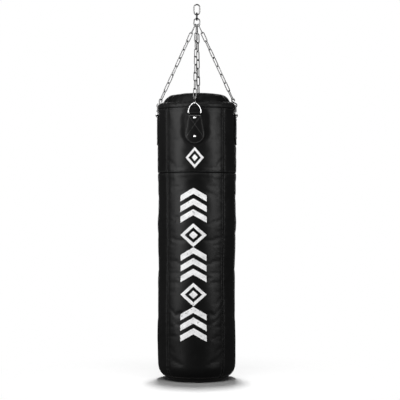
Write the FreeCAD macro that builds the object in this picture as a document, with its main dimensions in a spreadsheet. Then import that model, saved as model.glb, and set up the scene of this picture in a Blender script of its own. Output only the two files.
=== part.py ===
"""Hanging heavy bag: a leather cylinder on four chain legs that meet at one ring.

Millimetres. The origin is the point inside the top link that bears on a ceiling hook.
+Z is up, the bag hangs down along -Z, and the printed front faces -Y.
"""
import FreeCAD, Part
import math
import os

import Sketcher
from FreeCAD import Placement, Rotation, Vector

OUT = "parts"
SHEET = "Dimensions"
AXIS_X, AXIS_Y, AXIS_Z = Vector(1, 0, 0), Vector(0, 1, 0), Vector(0, 0, 1)
SIDES = {"right": 0, "back": 90, "left": 180, "front": 270}   # degrees about Z

DIMENSIONS = {
    # heights of the bag, measured down from the bearing point
    "lid_top_z": -402,          # crown of the lid
    "collar_top_z": -451,       # free edge of the collar
    "top_seam_z": -474,         # collar to upper panels
    "mid_seam_z": -764,         # upper panels to lower panels
    "base_z": -1697,            # flat underside
    # leather shell
    "bag_radius": 175,
    "leather": 2.2,
    "seam_gap": 0.4,
    "corner_radius": 70,        # lower edge of the bag
    "base_seam_radius": 150,    # where the bottom panel is sewn in
    "collar_top_radius": 160,
    "collar_leather": 2.6,
    "lid_arc": 600,
    "lid_flat": 118,            # the shoulder of the lid starts here
    "lid_edge": 155.5,
    "lid_hem_z": -470,
    # zip across the lid
    "zip_half": 112,            # half the length of the opening, across X
    "slot_half": 6,
    "tape_depth": 3.2,
    "tape_width": 25,
    "tape_thickness": 0.8,
    "teeth_width": 6,
    "teeth_depth": 0.9,
    "teeth_thickness": 2.2,
    "slider_length": 13,
    "slider_width": 11,
    "slider_plate": 1.4,
    "slider_rise": 0.9,
    "flange": 1.6,
    "bail_length": 9,
    "bail_rise": 4,
    "bail_wall": 1.5,
    "bail_root": 0.2,           # how far the bail sinks into its plate
    "slider_clear": 0.4,        # slider's flanges over the tape
    "stop_clear": 0.2,          # stops over the tape
    "tape_apart": 1,            # each tape, from the middle of the zip
    "pull_length": 28,
    "pull_width": 8,
    "pull_plate": 1.4,
    "pull_window": 6,
    # inner layers, as depths below the outer surface
    "lining_depth": 4.8,
    "lining_thickness": 1.4,
    "foam_depth": 6.5,
    "foam_thickness": 15.5,
    "lid_foam_depth": 9,
    "layer_gap": 0.3,
    "base_foam_radius": 100,
    "base_foam_thickness": 20,
    "base_foam_room": 4,        # filling clear of the base foam's rim
    "foam_base_room": 5,        # sleeve clear of the lower bend
    "lining_drop": 2,           # tops of the inner layers, below the top seam
    "foam_drop": 4,
    "filling_drop": 6,
    # links between the hook and the four chains
    "hanger_wire": 6,
    "hanger_width": 32,
    "hanger_height": 52,
    "joiner_wire": 7,
    "joiner_width": 28,
    "joiner_height": 38,
    "ring_wire": 6,
    "ring_width": 32,
    "ring_height": 42,
    "contact_gap": 0.3,
    # chain legs
    "chain_wire": 4.4,
    "chain_width": 18,
    "hook_wire": 5.5,
    "hook_upper": 7.2,          # bend radius of the wire's centreline
    "hook_lower": 7.5,
    "hook_reach": 34,           # inside of one bend to inside of the other
    # D-rings and the leather tabs that hold them
    "dring_wire": 6,
    "dring_width": 62,
    "dring_rise": 46,           # base bar to crown, centreline
    "dring_corner": 4.2,
    "dring_spring": 6,          # height where the arch starts
    "dring_crown": 12,
    "bar_z": -502.4,
    "strap": 2.4,
    "fit_gap": 0.3,
    "bar_play": 0.4,
    "loop_width": 48,
    "tab_top_z": -507,
    "tab_top_width": 57,
    "tab_centre_z": -594.5,
    "tab_radius": 43,
    "rivet_upper_z": -522.5,
    "rivet_lower_z": -605,
    "rivet_head": 6,
    "rivet_dome": 2.2,
    "rivet_shank": 2.4,
    "rivet_hole": 2.6,
    "burr_radius": 7,
    "burr_thickness": 1.2,
    "rivet_seat": 0.1,          # head over the tab, and burr under the shell
    "burr_seat": 0.2,
    "shank_end": 1,
}

LINKS_PER_CHAIN = 9
DRING_LEAN = 6.5            # degrees the D-rings lean in over the shoulder
END_GAP = 1.9               # slack under the first link of each chain
HOOK_GAP = 0.8              # slack between each S-hook and its D-ring
SIDE_LINK_X = 9.2           # where the side chains sit on the gathering ring
FACE_LINK_X = 2.6           # where the front and back chains sit on it
SIDE_TWIST = (25, 35)       # degrees: total twist of a side chain, and its swell half way
FACE_TWIST = (65, 20)       # the same for the front and back chains
SLIDER_X = 98               # slider's place along the zip when it is closed
STOP_X = 108
STOP_SIZE = (4, 8, 3)
CUT_PAST = 1                # how far cutting shapes run past what they cut
NOSE_SHARE = 0.6            # taper of the slider's nose, in half widths
THROAT_STRAPS = 1.5         # where the loop joins the tab, in strap thicknesses
FULL_TURN = 360
QUARTER = 90
DEGREES = 180 / math.pi


class Size:
    """A length with its number and the sheet expression that gives it."""

    def __init__(self, value, text):
        self.value = float(value)
        self.text = text

    def __add__(self, other):
        other = as_size(other)
        return Size(self.value + other.value, f"({self.text} + {other.text})")

    def __sub__(self, other):
        other = as_size(other)
        return Size(self.value - other.value, f"({self.text} - {other.text})")

    def __mul__(self, other):
        other = as_size(other)
        return Size(self.value * other.value, f"({self.text} * {other.text})")

    def __truediv__(self, other):
        other = as_size(other)
        return Size(self.value / other.value, f"({self.text} / {other.text})")

    def __neg__(self):
        return Size(-self.value, f"(0 - {self.text})")


def as_size(number):
    """A bare number as a size, so that both mix in sums."""
    return number if isinstance(number, Size) else Size(number, repr(float(number)))


def root(size):
    return Size(math.sqrt(size.value), f"sqrt({size.text})")


def dimension_sheet(doc):
    """Fills the sheet, and returns each dimension as a Size by its name."""
    sheet = doc.addObject("Spreadsheet::Sheet", SHEET)
    sizes = {}
    for row, (name, value) in enumerate(DIMENSIONS.items(), start=1):
        sheet.set(f"A{row}", name)
        sheet.set(f"B{row}", str(value))
        sheet.setAlias(f"B{row}", name)
        sizes[name] = Size(value, f"{SHEET}.{name}")
    return sizes


# ---------------------------------------------------------------- sketches and features

def new_body(doc, label, place=None):
    body = doc.addObject("PartDesign::Body", label)
    body.Label = label
    if place is not None:
        body.Placement = place
    return body


def new_sketch(body, name, role):
    """An empty sketch on one of the body's own origin planes."""
    sketch = body.newObject("Sketcher::SketchObject", name)
    plane = [f for f in body.Origin.OriginFeatures if f.Role == role][0]
    sketch.AttachmentSupport = (plane, [""])
    sketch.MapMode = "FlatFace"
    return sketch


def hold(sketch, kind, size, *places):
    """Adds one dimension to the sketch and binds it to the sheet."""
    index = sketch.addConstraint(Sketcher.Constraint(kind, *places, size.value))
    sketch.setExpression(f"Constraints[{index}]", size.text)


def pin(sketch, edge, end, point):
    """Fixes one end of an edge at a point given as two sizes from the sketch's origin."""
    hold(sketch, "DistanceX", point[0], -1, 1, edge, end)
    hold(sketch, "DistanceY", point[1], -1, 1, edge, end)


def arc_between(start, end, radius, turn):
    """The short arc from start to end that turns left (+1) or right (-1)."""
    middle = (start + end) * 0.5
    chord = end - start
    left = Vector(-chord.y, chord.x, 0).normalize()
    rise = math.sqrt(max(radius ** 2 - (chord.Length / 2) ** 2, 0))
    centre = middle + left * rise * turn
    first, last = (start, end) if turn > 0 else (end, start)
    angles = [math.atan2(p.y - centre.y, p.x - centre.x) for p in (first, last)]
    circle = Part.Circle(centre, AXIS_Z, radius)
    return Part.ArcOfCircle(circle, angles[0], angles[1])


def outline(sketch, corners, closed=True):
    """Draws edges through the corners. A corner is (x, y) after a straight edge, or
    (x, y, radius, turn) after an arc that turns left (+1) or right (-1)."""
    corners = [tuple(as_size(n) for n in c[:3]) + tuple(c[3:]) for c in corners]
    count = len(corners) if closed else len(corners) - 1
    ends = []
    for index in range(count):
        start, end = corners[index], corners[(index + 1) % len(corners)]
        a = Vector(start[0].value, start[1].value, 0)
        b = Vector(end[0].value, end[1].value, 0)
        curved = len(end) == 4
        if curved:
            edge = sketch.addGeometry(arc_between(a, b, end[2].value, end[3]))
            first, last = (1, 2) if end[3] > 0 else (2, 1)
            hold(sketch, "Radius", end[2], edge)
        else:
            edge = sketch.addGeometry(Part.LineSegment(a, b))
            first, last = 1, 2
        pin(sketch, edge, first, start)
        ends.append((edge, first, last))
    for (edge, _, last), (following, first, _) in zip(ends, ends[1:]):
        sketch.addConstraint(Sketcher.Constraint("Coincident", edge, last, following, first))
    if closed:
        sketch.addConstraint(
            Sketcher.Constraint("Coincident", ends[-1][0], ends[-1][2], ends[0][0], ends[0][1])
        )
    else:
        pin(sketch, ends[-1][0], ends[-1][2], corners[-1])


def rectangle(low_x, high_x, low_y, high_y):
    return [(low_x, low_y), (high_x, low_y), (high_x, high_y), (low_x, high_y)]


def circles(sketch, centres, radius):
    for x, y in centres:
        x, y = as_size(x), as_size(y)
        shape = Part.Circle(Vector(x.value, y.value, 0), AXIS_Z, radius.value)
        edge = sketch.addGeometry(shape)
        pin(sketch, edge, 3, (x, y))
        hold(sketch, "Radius", radius, edge)


def revolve(body, name, corners, angle=None, cut=False):
    """Turns a profile in X (radius) and Z about the body's Z axis."""
    sketch = new_sketch(body, name + "_sketch", "XZ_Plane")
    outline(sketch, corners)
    kind = "PartDesign::Groove" if cut else "PartDesign::Revolution"
    feature = body.newObject(kind, name)
    feature.Profile = sketch
    feature.ReferenceAxis = (sketch, ["V_Axis"])
    if angle is None:
        feature.Angle = FULL_TURN
    else:
        feature.Midplane = True
        feature.setExpression("Angle", angle.text)
    return feature


def pad(body, name, role, corners, length, both_sides=True):
    sketch = new_sketch(body, name + "_sketch", role)
    outline(sketch, corners)
    feature = body.newObject("PartDesign::Pad", name)
    feature.Profile = sketch
    feature.setExpression("Length", as_size(length).text)
    feature.SideType = "Symmetric" if both_sides else "One side"
    return feature


def through_cut(body, name, sketch, both_sides=True):
    """Cuts a sketch right through, on both sides of its plane or only along its normal."""
    feature = body.newObject("PartDesign::Pocket", name)
    feature.Profile = sketch
    feature.Type = "ThroughAll"
    feature.SideType = "Symmetric" if both_sides else "One side"
    feature.Reversed = not both_sides
    return feature


def pipe(body, name, spine, section):
    feature = body.newObject("PartDesign::AdditivePipe", name)
    feature.Profile = section
    feature.Spine = (spine, [])
    return feature


def group(doc, label, parts):
    """Several separate solids that share one node."""
    node = doc.addObject("Part::Compound", label)
    node.Label = label
    node.Links = parts
    return node


def about_z(angle):
    return Placement(Vector(), Rotation(AXIS_Z, angle))


def frame_rotation(normal, along):
    """Turns local Y to the normal and local Z to the along direction."""
    return Rotation(normal.cross(along), normal, along, "ZYX")


# ---------------------------------------------------------------- wire links

def wire_oval(doc, label, width, height, wire, place):
    """A closed link in its local XZ plane, centred on its origin."""
    body = new_body(doc, label, place)
    bend = (width - wire) / 2
    straight = (height - width) / 2
    spine = new_sketch(body, label + "_line", "XZ_Plane")
    outline(spine, [
        (bend, 0), (bend, straight), (0, straight + bend, bend, 1), (-bend, straight, bend, 1),
        (-bend, -straight), (0, -(straight + bend), bend, 1), (bend, -straight, bend, 1),
    ])
    section = new_sketch(body, label + "_section", "XY_Plane")
    circles(section, [(bend, 0)], wire / 2)
    pipe(body, label + "_wire", spine, section)
    return body


def upper_links(doc, s):
    """Hanger link, joining link and gathering ring, each bearing inside the next."""
    gap = s["contact_gap"]
    hanger_bottom = s["hanger_wire"] * 1.5 - s["hanger_height"]
    hanger_z = s["hanger_wire"] - s["hanger_height"] / 2
    joiner_top = hanger_bottom + s["hanger_wire"] / 2 + s["joiner_wire"] / 2 + gap
    joiner_z = joiner_top - (s["joiner_height"] - s["joiner_wire"]) / 2
    joiner_bottom = joiner_top - (s["joiner_height"] - s["joiner_wire"])
    ring_top = joiner_bottom + s["joiner_wire"] / 2 + s["ring_wire"] / 2 + gap
    ring_z = ring_top - (s["ring_height"] - s["ring_wire"]) / 2
    nodes = [
        wire_oval(doc, "hanger_link", s["hanger_width"], s["hanger_height"], s["hanger_wire"],
                  Placement(Vector(0, 0, hanger_z.value), Rotation())),
        wire_oval(doc, "joining_link", s["joiner_width"], s["joiner_height"], s["joiner_wire"],
                  Placement(Vector(0, 0, joiner_z.value), Rotation(AXIS_Z, QUARTER))),
        wire_oval(doc, "gathering_ring", s["ring_width"], s["ring_height"], s["ring_wire"],
                  Placement(Vector(0, 0, ring_z.value), Rotation())),
    ]
    print("pivots: hanger bottom wire", round(hanger_bottom.value, 2), "joiner top wire",
          round(joiner_top.value, 2), "joiner bottom wire", round(joiner_bottom.value, 2))
    return nodes, ring_z


# ---------------------------------------------------------------- chain legs

def dring_crown_point(s, angle):
    """Centre of the wire at the crown of a D-ring, for one side of the bag."""
    lean = math.radians(DRING_LEAN)
    reach = bar_reach(s).value - s["dring_rise"].value * math.sin(lean)
    height = s["bar_z"].value + s["dring_rise"].value * math.cos(lean)
    return about_z(angle).multVec(Vector(reach, 0, height))


def leg_line(s, ring_z, side):
    """Where a chain leg starts on the gathering ring, the ring's wire direction there,
    and where the leg ends on its D-ring."""
    bend = (s["ring_width"] - s["ring_wire"]).value / 2
    lower_arc_z = ring_z.value - (s["ring_height"] - s["ring_width"]).value / 2
    x = {"right": SIDE_LINK_X, "left": -SIDE_LINK_X, "front": -FACE_LINK_X, "back": FACE_LINK_X}[side]
    drop = math.sqrt(bend ** 2 - x ** 2)
    start = Vector(x, 0, lower_arc_z - drop)
    wire = Vector(drop, 0, x).normalize()
    return start, wire, dring_crown_point(s, SIDES[side])


def link_pitch(s, start, end):
    """Spacing of a leg's links, from what the S-hook and the two ends leave of its length."""
    ends = (s["ring_wire"].value + s["dring_wire"].value) / 2 + END_GAP + HOOK_GAP
    return ((end - start).Length + ends - s["hook_reach"].value) / LINKS_PER_CHAIN


def link_twist(side, share):
    total, swell = FACE_TWIST if side in ("front", "back") else SIDE_TWIST
    return total * share + swell * math.sin(math.pi * share)


def chain_leg(doc, s, link, ring_z, side):
    """One chain of separate links, and the S-hook that hangs the bag on it."""
    start, wire, end = leg_line(s, ring_z, side)
    down = (end - start).normalize()
    pitch = link_pitch(s, start, end)
    first_middle = pitch / 2 - s["ring_wire"].value / 2 - END_GAP
    first_normal = (wire - down * wire.dot(down)).normalize()
    links = []
    for index in range(LINKS_PER_CHAIN):
        share = index / (LINKS_PER_CHAIN - 1)
        turn = Rotation(down, index * QUARTER + link_twist(side, share))
        middle = start + down * (first_middle + index * pitch)
        shape = link.Shape.copy()
        shape.Placement = Placement(middle, frame_rotation(turn.multVec(first_normal), -down))
        links.append(shape)
    chain = doc.addObject("Part::Feature", "chain_" + side)
    chain.Label = "chain_" + side
    chain.Shape = Part.makeCompound(links)
    chain.Placement = Placement()
    last_normal = links[-1].Placement.Rotation.multVec(AXIS_Y)
    return [chain, s_hook(doc, s, side, end, down, last_normal.cross(down))]


def link_pattern(doc, s, ring_z):
    """One chain link, upright on the origin; the chains repeat it."""
    start, _, end = leg_line(s, ring_z, "right")
    inside = s["contact_gap"] + link_pitch(s, start, end)
    print("chain link inside length", round(inside.value, 2), "leg", round((end - start).Length, 1))
    return wire_oval(doc, "chain_link_pattern", s["chain_width"], inside + s["chain_wire"] * 2,
                     s["chain_wire"], Placement())


def s_hook(doc, s, side, crown, down, normal):
    """A wire bent to an S: two three-quarter bends on a straight shank, upright in its local XZ plane."""
    upper, lower, wire = s["hook_upper"], s["hook_lower"], s["hook_wire"]
    bends = upper + lower
    centres = s["hook_reach"] + wire - bends
    shank = root(centres * centres - bends * bends) / 2
    label = "s_hook_" + side
    body = new_body(doc, label)
    section = new_sketch(body, label + "_section", "XY_Plane")
    circles(section, [(0, 0)], wire / 2)
    top = new_sketch(body, label + "_upper_line", "XZ_Plane")
    outline(top, [
        (0, 0), (0, shank), (upper, shank + upper, upper, -1), (upper * 2, shank, upper, -1),
        (upper, shank - upper, upper, -1),
    ], closed=False)
    bottom = new_sketch(body, label + "_lower_line", "XZ_Plane")
    outline(bottom, [
        (0, 0), (0, -shank), (-lower, -shank - lower, lower, -1), (-(lower * 2), -shank, lower, -1),
        (-lower, lower - shank, lower, -1),
    ], closed=False)
    pipe(body, label + "_upper", top, section)
    pipe(body, label + "_lower", bottom, section)
    slant = math.degrees(math.asin(bends.value / centres.value))
    turn = frame_rotation(normal.normalize(), -down).multiply(Rotation(AXIS_Y, -slant))
    bearing = (s["dring_wire"].value + wire.value) / 2 + HOOK_GAP
    centre = crown + down * (bearing - lower.value)
    local_centre = Vector(-lower.value, 0, -shank.value)
    body.Placement = Placement(centre - turn.multVec(local_centre), turn)
    return body


# ---------------------------------------------------------------- D-rings, tabs and rivets

def bar_reach(s):
    """Distance of a D-ring's base bar from the bag's axis."""
    return s["bag_radius"] + s["fit_gap"] + s["strap"] + s["dring_wire"] / 2 + s["bar_play"]


def d_ring(doc, s, side):
    """A pointed D of round wire in its local YZ plane, with its base bar on the origin."""
    label = "d_ring_" + side
    body = new_body(doc, label)
    half = (s["dring_width"] - s["dring_wire"]) / 2
    corner, spring, crown = s["dring_corner"], s["dring_spring"], s["dring_crown"]
    crown_z = s["dring_rise"] - crown
    lift = crown_z - spring
    flank = (lift * lift + half * half - crown * crown) / ((half - crown) * 2)
    joint_y = crown * (flank - half) / (flank - crown)
    joint_z = crown_z + crown * lift / (flank - crown)
    spine = new_sketch(body, label + "_line", "YZ_Plane")
    outline(spine, [
        (0, 0), (half - corner, 0), (half, corner, corner, 1), (half, spring),
        (joint_y, joint_z, flank, 1), (-joint_y, joint_z, crown, 1), (-half, spring, flank, 1),
        (-half, corner), (corner - half, 0, corner, 1),
    ])
    section = new_sketch(body, label + "_section", "XZ_Plane")
    circles(section, [(0, 0)], s["dring_wire"] / 2)
    pipe(body, label + "_wire", spine, section)
    upright = Placement(Vector(bar_reach(s).value, 0, s["bar_z"].value), Rotation(AXIS_Y, -DRING_LEAN))
    body.Placement = about_z(SIDES[side]).multiply(upright)
    return body


def rivet_holes(body, name, s):
    sketch = new_sketch(body, name + "_sketch", "YZ_Plane")
    circles(sketch, [(0, s["rivet_upper_z"]), (0, s["rivet_lower_z"])], s["rivet_hole"])
    through_cut(body, name, sketch, both_sides=False)


def tab(doc, s, side):
    """A leather strap folded round the D-ring's bar: its two layers make the teardrop below."""
    label = "tab_" + side
    body = new_body(doc, label, about_z(SIDES[side]))
    inner = s["bag_radius"] + s["fit_gap"]
    outer = inner + s["strap"] * 2
    half_top, low = s["tab_top_width"] / 2, s["tab_radius"]
    top, centre = s["tab_top_z"], s["tab_centre_z"]
    rise = top - centre
    far = half_top * half_top + rise * rise
    tangent = root(far - low * low)
    side_y = (low * low * half_top + low * tangent * rise) / far
    side_z = centre + (low * low * rise - low * tangent * half_top) / far
    pad(body, label + "_face", "YZ_Plane", [
        (-half_top, top), (-side_y, side_z), (0, centre - low, low, 1), (side_y, side_z, low, 1),
        (half_top, top),
    ], outer + low, both_sides=False)
    floor, ceiling = centre - low * 2, top + low
    revolve(body, label + "_back", rectangle(0, inner, floor, ceiling), cut=True)
    revolve(body, label + "_front", rectangle(outer, outer + low * 2, floor, ceiling), cut=True)
    reach, bar = bar_reach(s), s["bar_z"]
    loop = s["dring_wire"] / 2 + s["bar_play"] + s["strap"]
    throat = top - s["strap"] * THROAT_STRAPS
    pad(body, label + "_loop", "XZ_Plane", [
        (reach + loop, bar), (reach, bar + loop, loop, 1), (reach - loop, bar, loop, 1),
        (inner, throat - loop), (outer, throat - loop), (outer, throat),
    ], s["loop_width"])
    hole = new_sketch(body, label + "_bar_hole_sketch", "XZ_Plane")
    circles(hole, [(reach, bar)], s["dring_wire"] / 2 + s["bar_play"])
    through_cut(body, label + "_bar_hole", hole)
    rivet_holes(body, label + "_rivet_holes", s)
    return body


def rivets(doc, s, side):
    """Two rivets: domed head outside, shank through tab and shell, burr washer inside."""
    seat = s["bag_radius"] + s["fit_gap"] + s["strap"] * 2 + s["rivet_seat"]
    shell_inside = s["bag_radius"] - s["leather"] - s["burr_seat"]
    head, dome, shank = s["rivet_head"], s["rivet_dome"], s["rivet_shank"]
    burr, thick = s["burr_radius"], s["burr_thickness"]
    bulge = (head * head + dome * dome) / (dome * 2)
    grip = seat - shell_inside
    tail = grip + thick
    end = tail + s["shank_end"]
    bodies = []
    for place in ("upper", "lower"):
        label = f"rivet_{side}_{place}"
        body = new_body(doc, label)
        revolve(body, label + "_turned", [
            (0, -end), (shank, -end), (shank, -tail), (burr, -tail), (burr, -grip),
            (shank, -grip), (shank, 0), (head, 0), (0, dome, bulge, 1),
        ])
        height = s[f"rivet_{place}_z"].value
        outward = Placement(Vector(seat.value, 0, height), Rotation(AXIS_Y, QUARTER))
        body.Placement = about_z(SIDES[side]).multiply(outward)
        bodies.append(body)
    return group(doc, "tab_rivets_" + side, bodies)


# ---------------------------------------------------------------- leather shell

def panel_sweep(s):
    """A quarter turn less the gap that the vertical seams take."""
    return as_size(QUARTER) - s["seam_gap"] / s["bag_radius"] * DEGREES


def upper_panel(doc, s, side):
    label = "upper_panel_" + side
    body = new_body(doc, label, about_z(SIDES[side]))
    half_gap = s["seam_gap"] / 2
    revolve(body, label + "_sheet", rectangle(
        s["bag_radius"] - s["leather"], s["bag_radius"],
        s["mid_seam_z"] + half_gap, s["top_seam_z"] - half_gap,
    ), panel_sweep(s))
    rivet_holes(body, label + "_rivet_holes", s)
    return body


def corner_point(s, depth, radius):
    """A point on the rounded lower edge, at a depth inside the outer surface, on the line
    from the edge's centre through its outer point at the given radius from the axis."""
    edge = s["corner_radius"]
    centre_x, centre_z = s["bag_radius"] - edge, s["base_z"] + edge
    out = (radius - centre_x) / edge
    drop = root(as_size(1) - out * out)
    return centre_x + (edge - depth) * out, centre_z - (edge - depth) * drop


def lower_panel(doc, s, side):
    label = "lower_panel_" + side
    body = new_body(doc, label, about_z(SIDES[side]))
    outer, inner = s["bag_radius"], s["bag_radius"] - s["leather"]
    edge, skin = s["corner_radius"], s["leather"]
    bend_z = s["base_z"] + edge
    seam = s["base_seam_radius"] + s["seam_gap"] / 2
    top = s["mid_seam_z"] - s["seam_gap"] / 2
    low_outer, low_inner = corner_point(s, as_size(0), seam), corner_point(s, skin, seam)
    revolve(body, label + "_sheet", [
        (inner, top), (inner, bend_z), (*low_inner, edge - skin, -1), low_outer,
        (outer, bend_z, edge, 1), (outer, top),
    ], panel_sweep(s))
    return body


def bottom_panel(doc, s):
    body = new_body(doc, "bottom_panel")
    edge, skin = s["corner_radius"], s["leather"]
    flat = s["bag_radius"] - edge
    seam = s["base_seam_radius"] - s["seam_gap"] / 2
    low_outer, low_inner = corner_point(s, as_size(0), seam), corner_point(s, skin, seam)
    revolve(body, "bottom_panel_sheet", [
        (0, s["base_z"]), (flat, s["base_z"]), (*low_outer, edge, 1), low_inner,
        (flat, s["base_z"] + skin, edge - skin, -1), (0, s["base_z"] + skin),
    ])
    return body


def collar(doc, s):
    """The hemmed band that draws the mouth of the bag in."""
    body = new_body(doc, "collar_band")
    thick, low = s["collar_leather"], s["top_seam_z"] + s["seam_gap"] / 2
    revolve(body, "collar_band_sheet", [
        (s["bag_radius"] - thick, low), (s["bag_radius"], low),
        (s["collar_top_radius"], s["collar_top_z"]),
        (s["collar_top_radius"] - thick, s["collar_top_z"]),
    ])
    return body


def dome(s, depth):
    """The lid's profile at a depth under its crown: crown, start of shoulder and edge,
    with the radii of the two arcs between them."""
    depth = as_size(depth)
    arc, flat, edge = s["lid_arc"], s["lid_flat"], s["lid_edge"]
    out = flat / arc
    up = root(as_size(1) - out * out)
    shoulder = (edge - flat) / (as_size(1) - out)
    centre_z = s["lid_top_z"] - arc
    edge_z = centre_z + (arc - shoulder) * up
    crown = (as_size(0), s["lid_top_z"] - depth)
    start = ((arc - depth) * out, centre_z + (arc - depth) * up)
    return crown, start, (edge - depth, edge_z), arc - depth, shoulder - depth


def lid_half(doc, s, label, angle):
    """Half of the domed lid, cut back along the middle for the zip."""
    body = new_body(doc, label, about_z(angle))
    crown, start, edge, arc, shoulder = dome(s, 0)
    crown_in, start_in, edge_in, arc_in, shoulder_in = dome(s, s["leather"])
    hem = s["lid_hem_z"]
    revolve(body, label + "_sheet", [
        crown_in, (*start_in, arc_in, -1), (*edge_in, shoulder_in, -1), (edge_in[0], hem),
        (edge[0], hem), edge, (*start, shoulder, 1), (*crown, arc, 1),
    ])
    half_gap, slot, reach = s["seam_gap"] / 2, s["slot_half"], s["zip_half"]
    wide = s["bag_radius"]
    sketch = new_sketch(body, label + "_cut_sketch", "XY_Plane")
    outline(sketch, [
        (-wide, wide), (-wide, -half_gap), (-reach, -half_gap), (-reach, -slot), (reach, -slot),
        (reach, -half_gap), (wide, -half_gap), (wide, wide),
    ])
    through_cut(body, label + "_cut", sketch)
    return body


# ---------------------------------------------------------------- zip

def arc_strip(doc, s, label, depth, thickness, half_length, width, offset):
    """A strip that follows the lid's crown across X, at a depth under it."""
    body = new_body(doc, label, Placement(Vector(0, offset, 0), Rotation()))
    centre_z = s["lid_top_z"] - s["lid_arc"]
    outer, inner = s["lid_arc"] - depth, s["lid_arc"] - depth - thickness
    outer_z = centre_z + root(outer * outer - half_length * half_length)
    inner_z = centre_z + root(inner * inner - half_length * half_length)
    pad(body, label + "_strip", "XZ_Plane", [
        (-half_length, inner_z), (half_length, inner_z, inner, -1), (half_length, outer_z),
        (-half_length, outer_z, outer, 1),
    ], width)
    return body


def zip_place(s, x):
    """Carries something drawn at the middle of the zip to x along it."""
    centre = Vector(0, 0, (s["lid_top_z"] - s["lid_arc"]).value)
    turn = Rotation(AXIS_Y, math.degrees(math.asin(x / s["lid_arc"].value)))
    return Placement(centre - turn.multVec(centre), turn)


def zip_stops(doc, s):
    length, width, height = STOP_SIZE
    stops = []
    for name, x in (("closed", STOP_X), ("open", -STOP_X)):
        stop = doc.addObject("Part::Box", "zip_stop_" + name)
        stop.Length, stop.Width, stop.Height = length, width, height
        bottom = (s["lid_top_z"] - s["tape_depth"] + s["stop_clear"]).value
        corner = Placement(Vector(-length / 2, -width / 2, bottom), Rotation())
        stop.Placement = zip_place(s, x).multiply(corner)
        stops.append(stop)
    return group(doc, "zip_stops", stops)


def zip_slider(doc, s):
    """A plate on two flanges that straddle the teeth, with a bail on top for the pull."""
    body = new_body(doc, "zip_slider", zip_place(s, SLIDER_X))
    crown = s["lid_top_z"]
    top = crown + s["slider_rise"]
    under = top - s["slider_plate"]
    half, wall = s["slider_length"] / 2, s["bail_wall"]
    foot = crown - s["tape_depth"] + s["slider_clear"]
    side, flange = s["slider_width"] / 2, s["flange"]
    pad(body, "slider_channel", "YZ_Plane", [
        (-side, foot), (flange - side, foot), (flange - side, under), (side - flange, under),
        (side - flange, foot), (side, foot), (side, top), (-side, top),
    ], s["slider_length"])
    reach, rise, sunk = s["bail_length"] / 2, s["bail_rise"], top - s["bail_root"]
    pad(body, "slider_bail", "XZ_Plane", [
        (-reach, sunk), (wall - reach, sunk), (wall - reach, top + rise - wall),
        (reach - wall, top + rise - wall), (reach - wall, sunk), (reach, sunk),
        (reach, top + rise), (-reach, top + rise),
    ], wall)
    nose = new_sketch(body, "slider_nose_sketch", "XY_Plane")
    taper = side * NOSE_SHARE
    past = half + CUT_PAST
    outline(nose, [(half - taper, -side), (past, -side - CUT_PAST), (past, taper - side)])
    through_cut(body, "slider_nose", nose)
    return body


def pull_height(s):
    """Height of the pull's hinge bar above the crown."""
    room = s["bail_rise"] - s["bail_wall"]
    return s["slider_rise"] + room / 2


def zip_pull(doc, s):
    """A flat pull with a window at one end, whose end bar turns inside the bail."""
    body = new_body(doc, "zip_pull", zip_place(s, SLIDER_X))
    thick, half, window = s["pull_plate"], s["pull_width"] / 2, s["pull_window"]
    middle = s["lid_top_z"] + pull_height(s)
    tip = s["pull_length"]
    pad(body, "pull_plate", "XZ_Plane", rectangle(
        -tip, thick / 2, middle - thick / 2, middle + thick / 2), s["pull_width"])
    cut = new_sketch(body, "pull_window_sketch", "XY_Plane")
    outline(cut, rectangle(-window, -(thick / 2), -(half / 2), half / 2))
    through_cut(body, "pull_window_cut", cut)
    return body


# ---------------------------------------------------------------- inner layers

def lining(doc, s):
    """A fabric sack just inside the leather, open at the top."""
    body = new_body(doc, "lining")
    depth, thick = s["lining_depth"], s["lining_thickness"]
    outer, inner = s["bag_radius"] - depth, s["bag_radius"] - depth - thick
    edge, flat = s["corner_radius"] - depth, s["bag_radius"] - s["corner_radius"]
    low_out, low_in = s["base_z"] + depth, s["base_z"] + depth + thick
    bend_z, top = s["base_z"] + s["corner_radius"], s["top_seam_z"] - s["lining_drop"]
    revolve(body, "lining_sheet", [
        (0, low_out), (flat, low_out), (outer, bend_z, edge, 1), (outer, top), (inner, top),
        (inner, bend_z), (flat, low_in, edge - thick, -1), (0, low_in),
    ])
    return body


def foam_sleeve(doc, s):
    body = new_body(doc, "foam_sleeve")
    outer = s["bag_radius"] - s["foam_depth"]
    revolve(body, "foam_sleeve_sheet", rectangle(
        outer - s["foam_thickness"], outer,
        s["base_z"] + s["corner_radius"] + s["foam_base_room"], s["top_seam_z"] - s["foam_drop"]))
    return body


def base_foam(doc, s):
    body = new_body(doc, "base_foam")
    low = s["base_z"] + s["foam_depth"]
    revolve(body, "base_foam_disc", rectangle(
        0, s["base_foam_radius"], low, low + s["base_foam_thickness"]))
    return body


def lid_foam(doc, s):
    """A domed foam pad under the lid that the zip closes over."""
    body = new_body(doc, "lid_foam")
    crown, start, edge, arc, shoulder = dome(s, s["lid_foam_depth"])
    crown_in, start_in, edge_in, arc_in, shoulder_in = dome(s, s["lid_foam_depth"] + s["foam_thickness"])
    revolve(body, "lid_foam_dome", [
        crown_in, (*start_in, arc_in, -1), (*edge_in, shoulder_in, -1), edge,
        (*start, shoulder, 1), (*crown, arc, 1),
    ])
    return body


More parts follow.
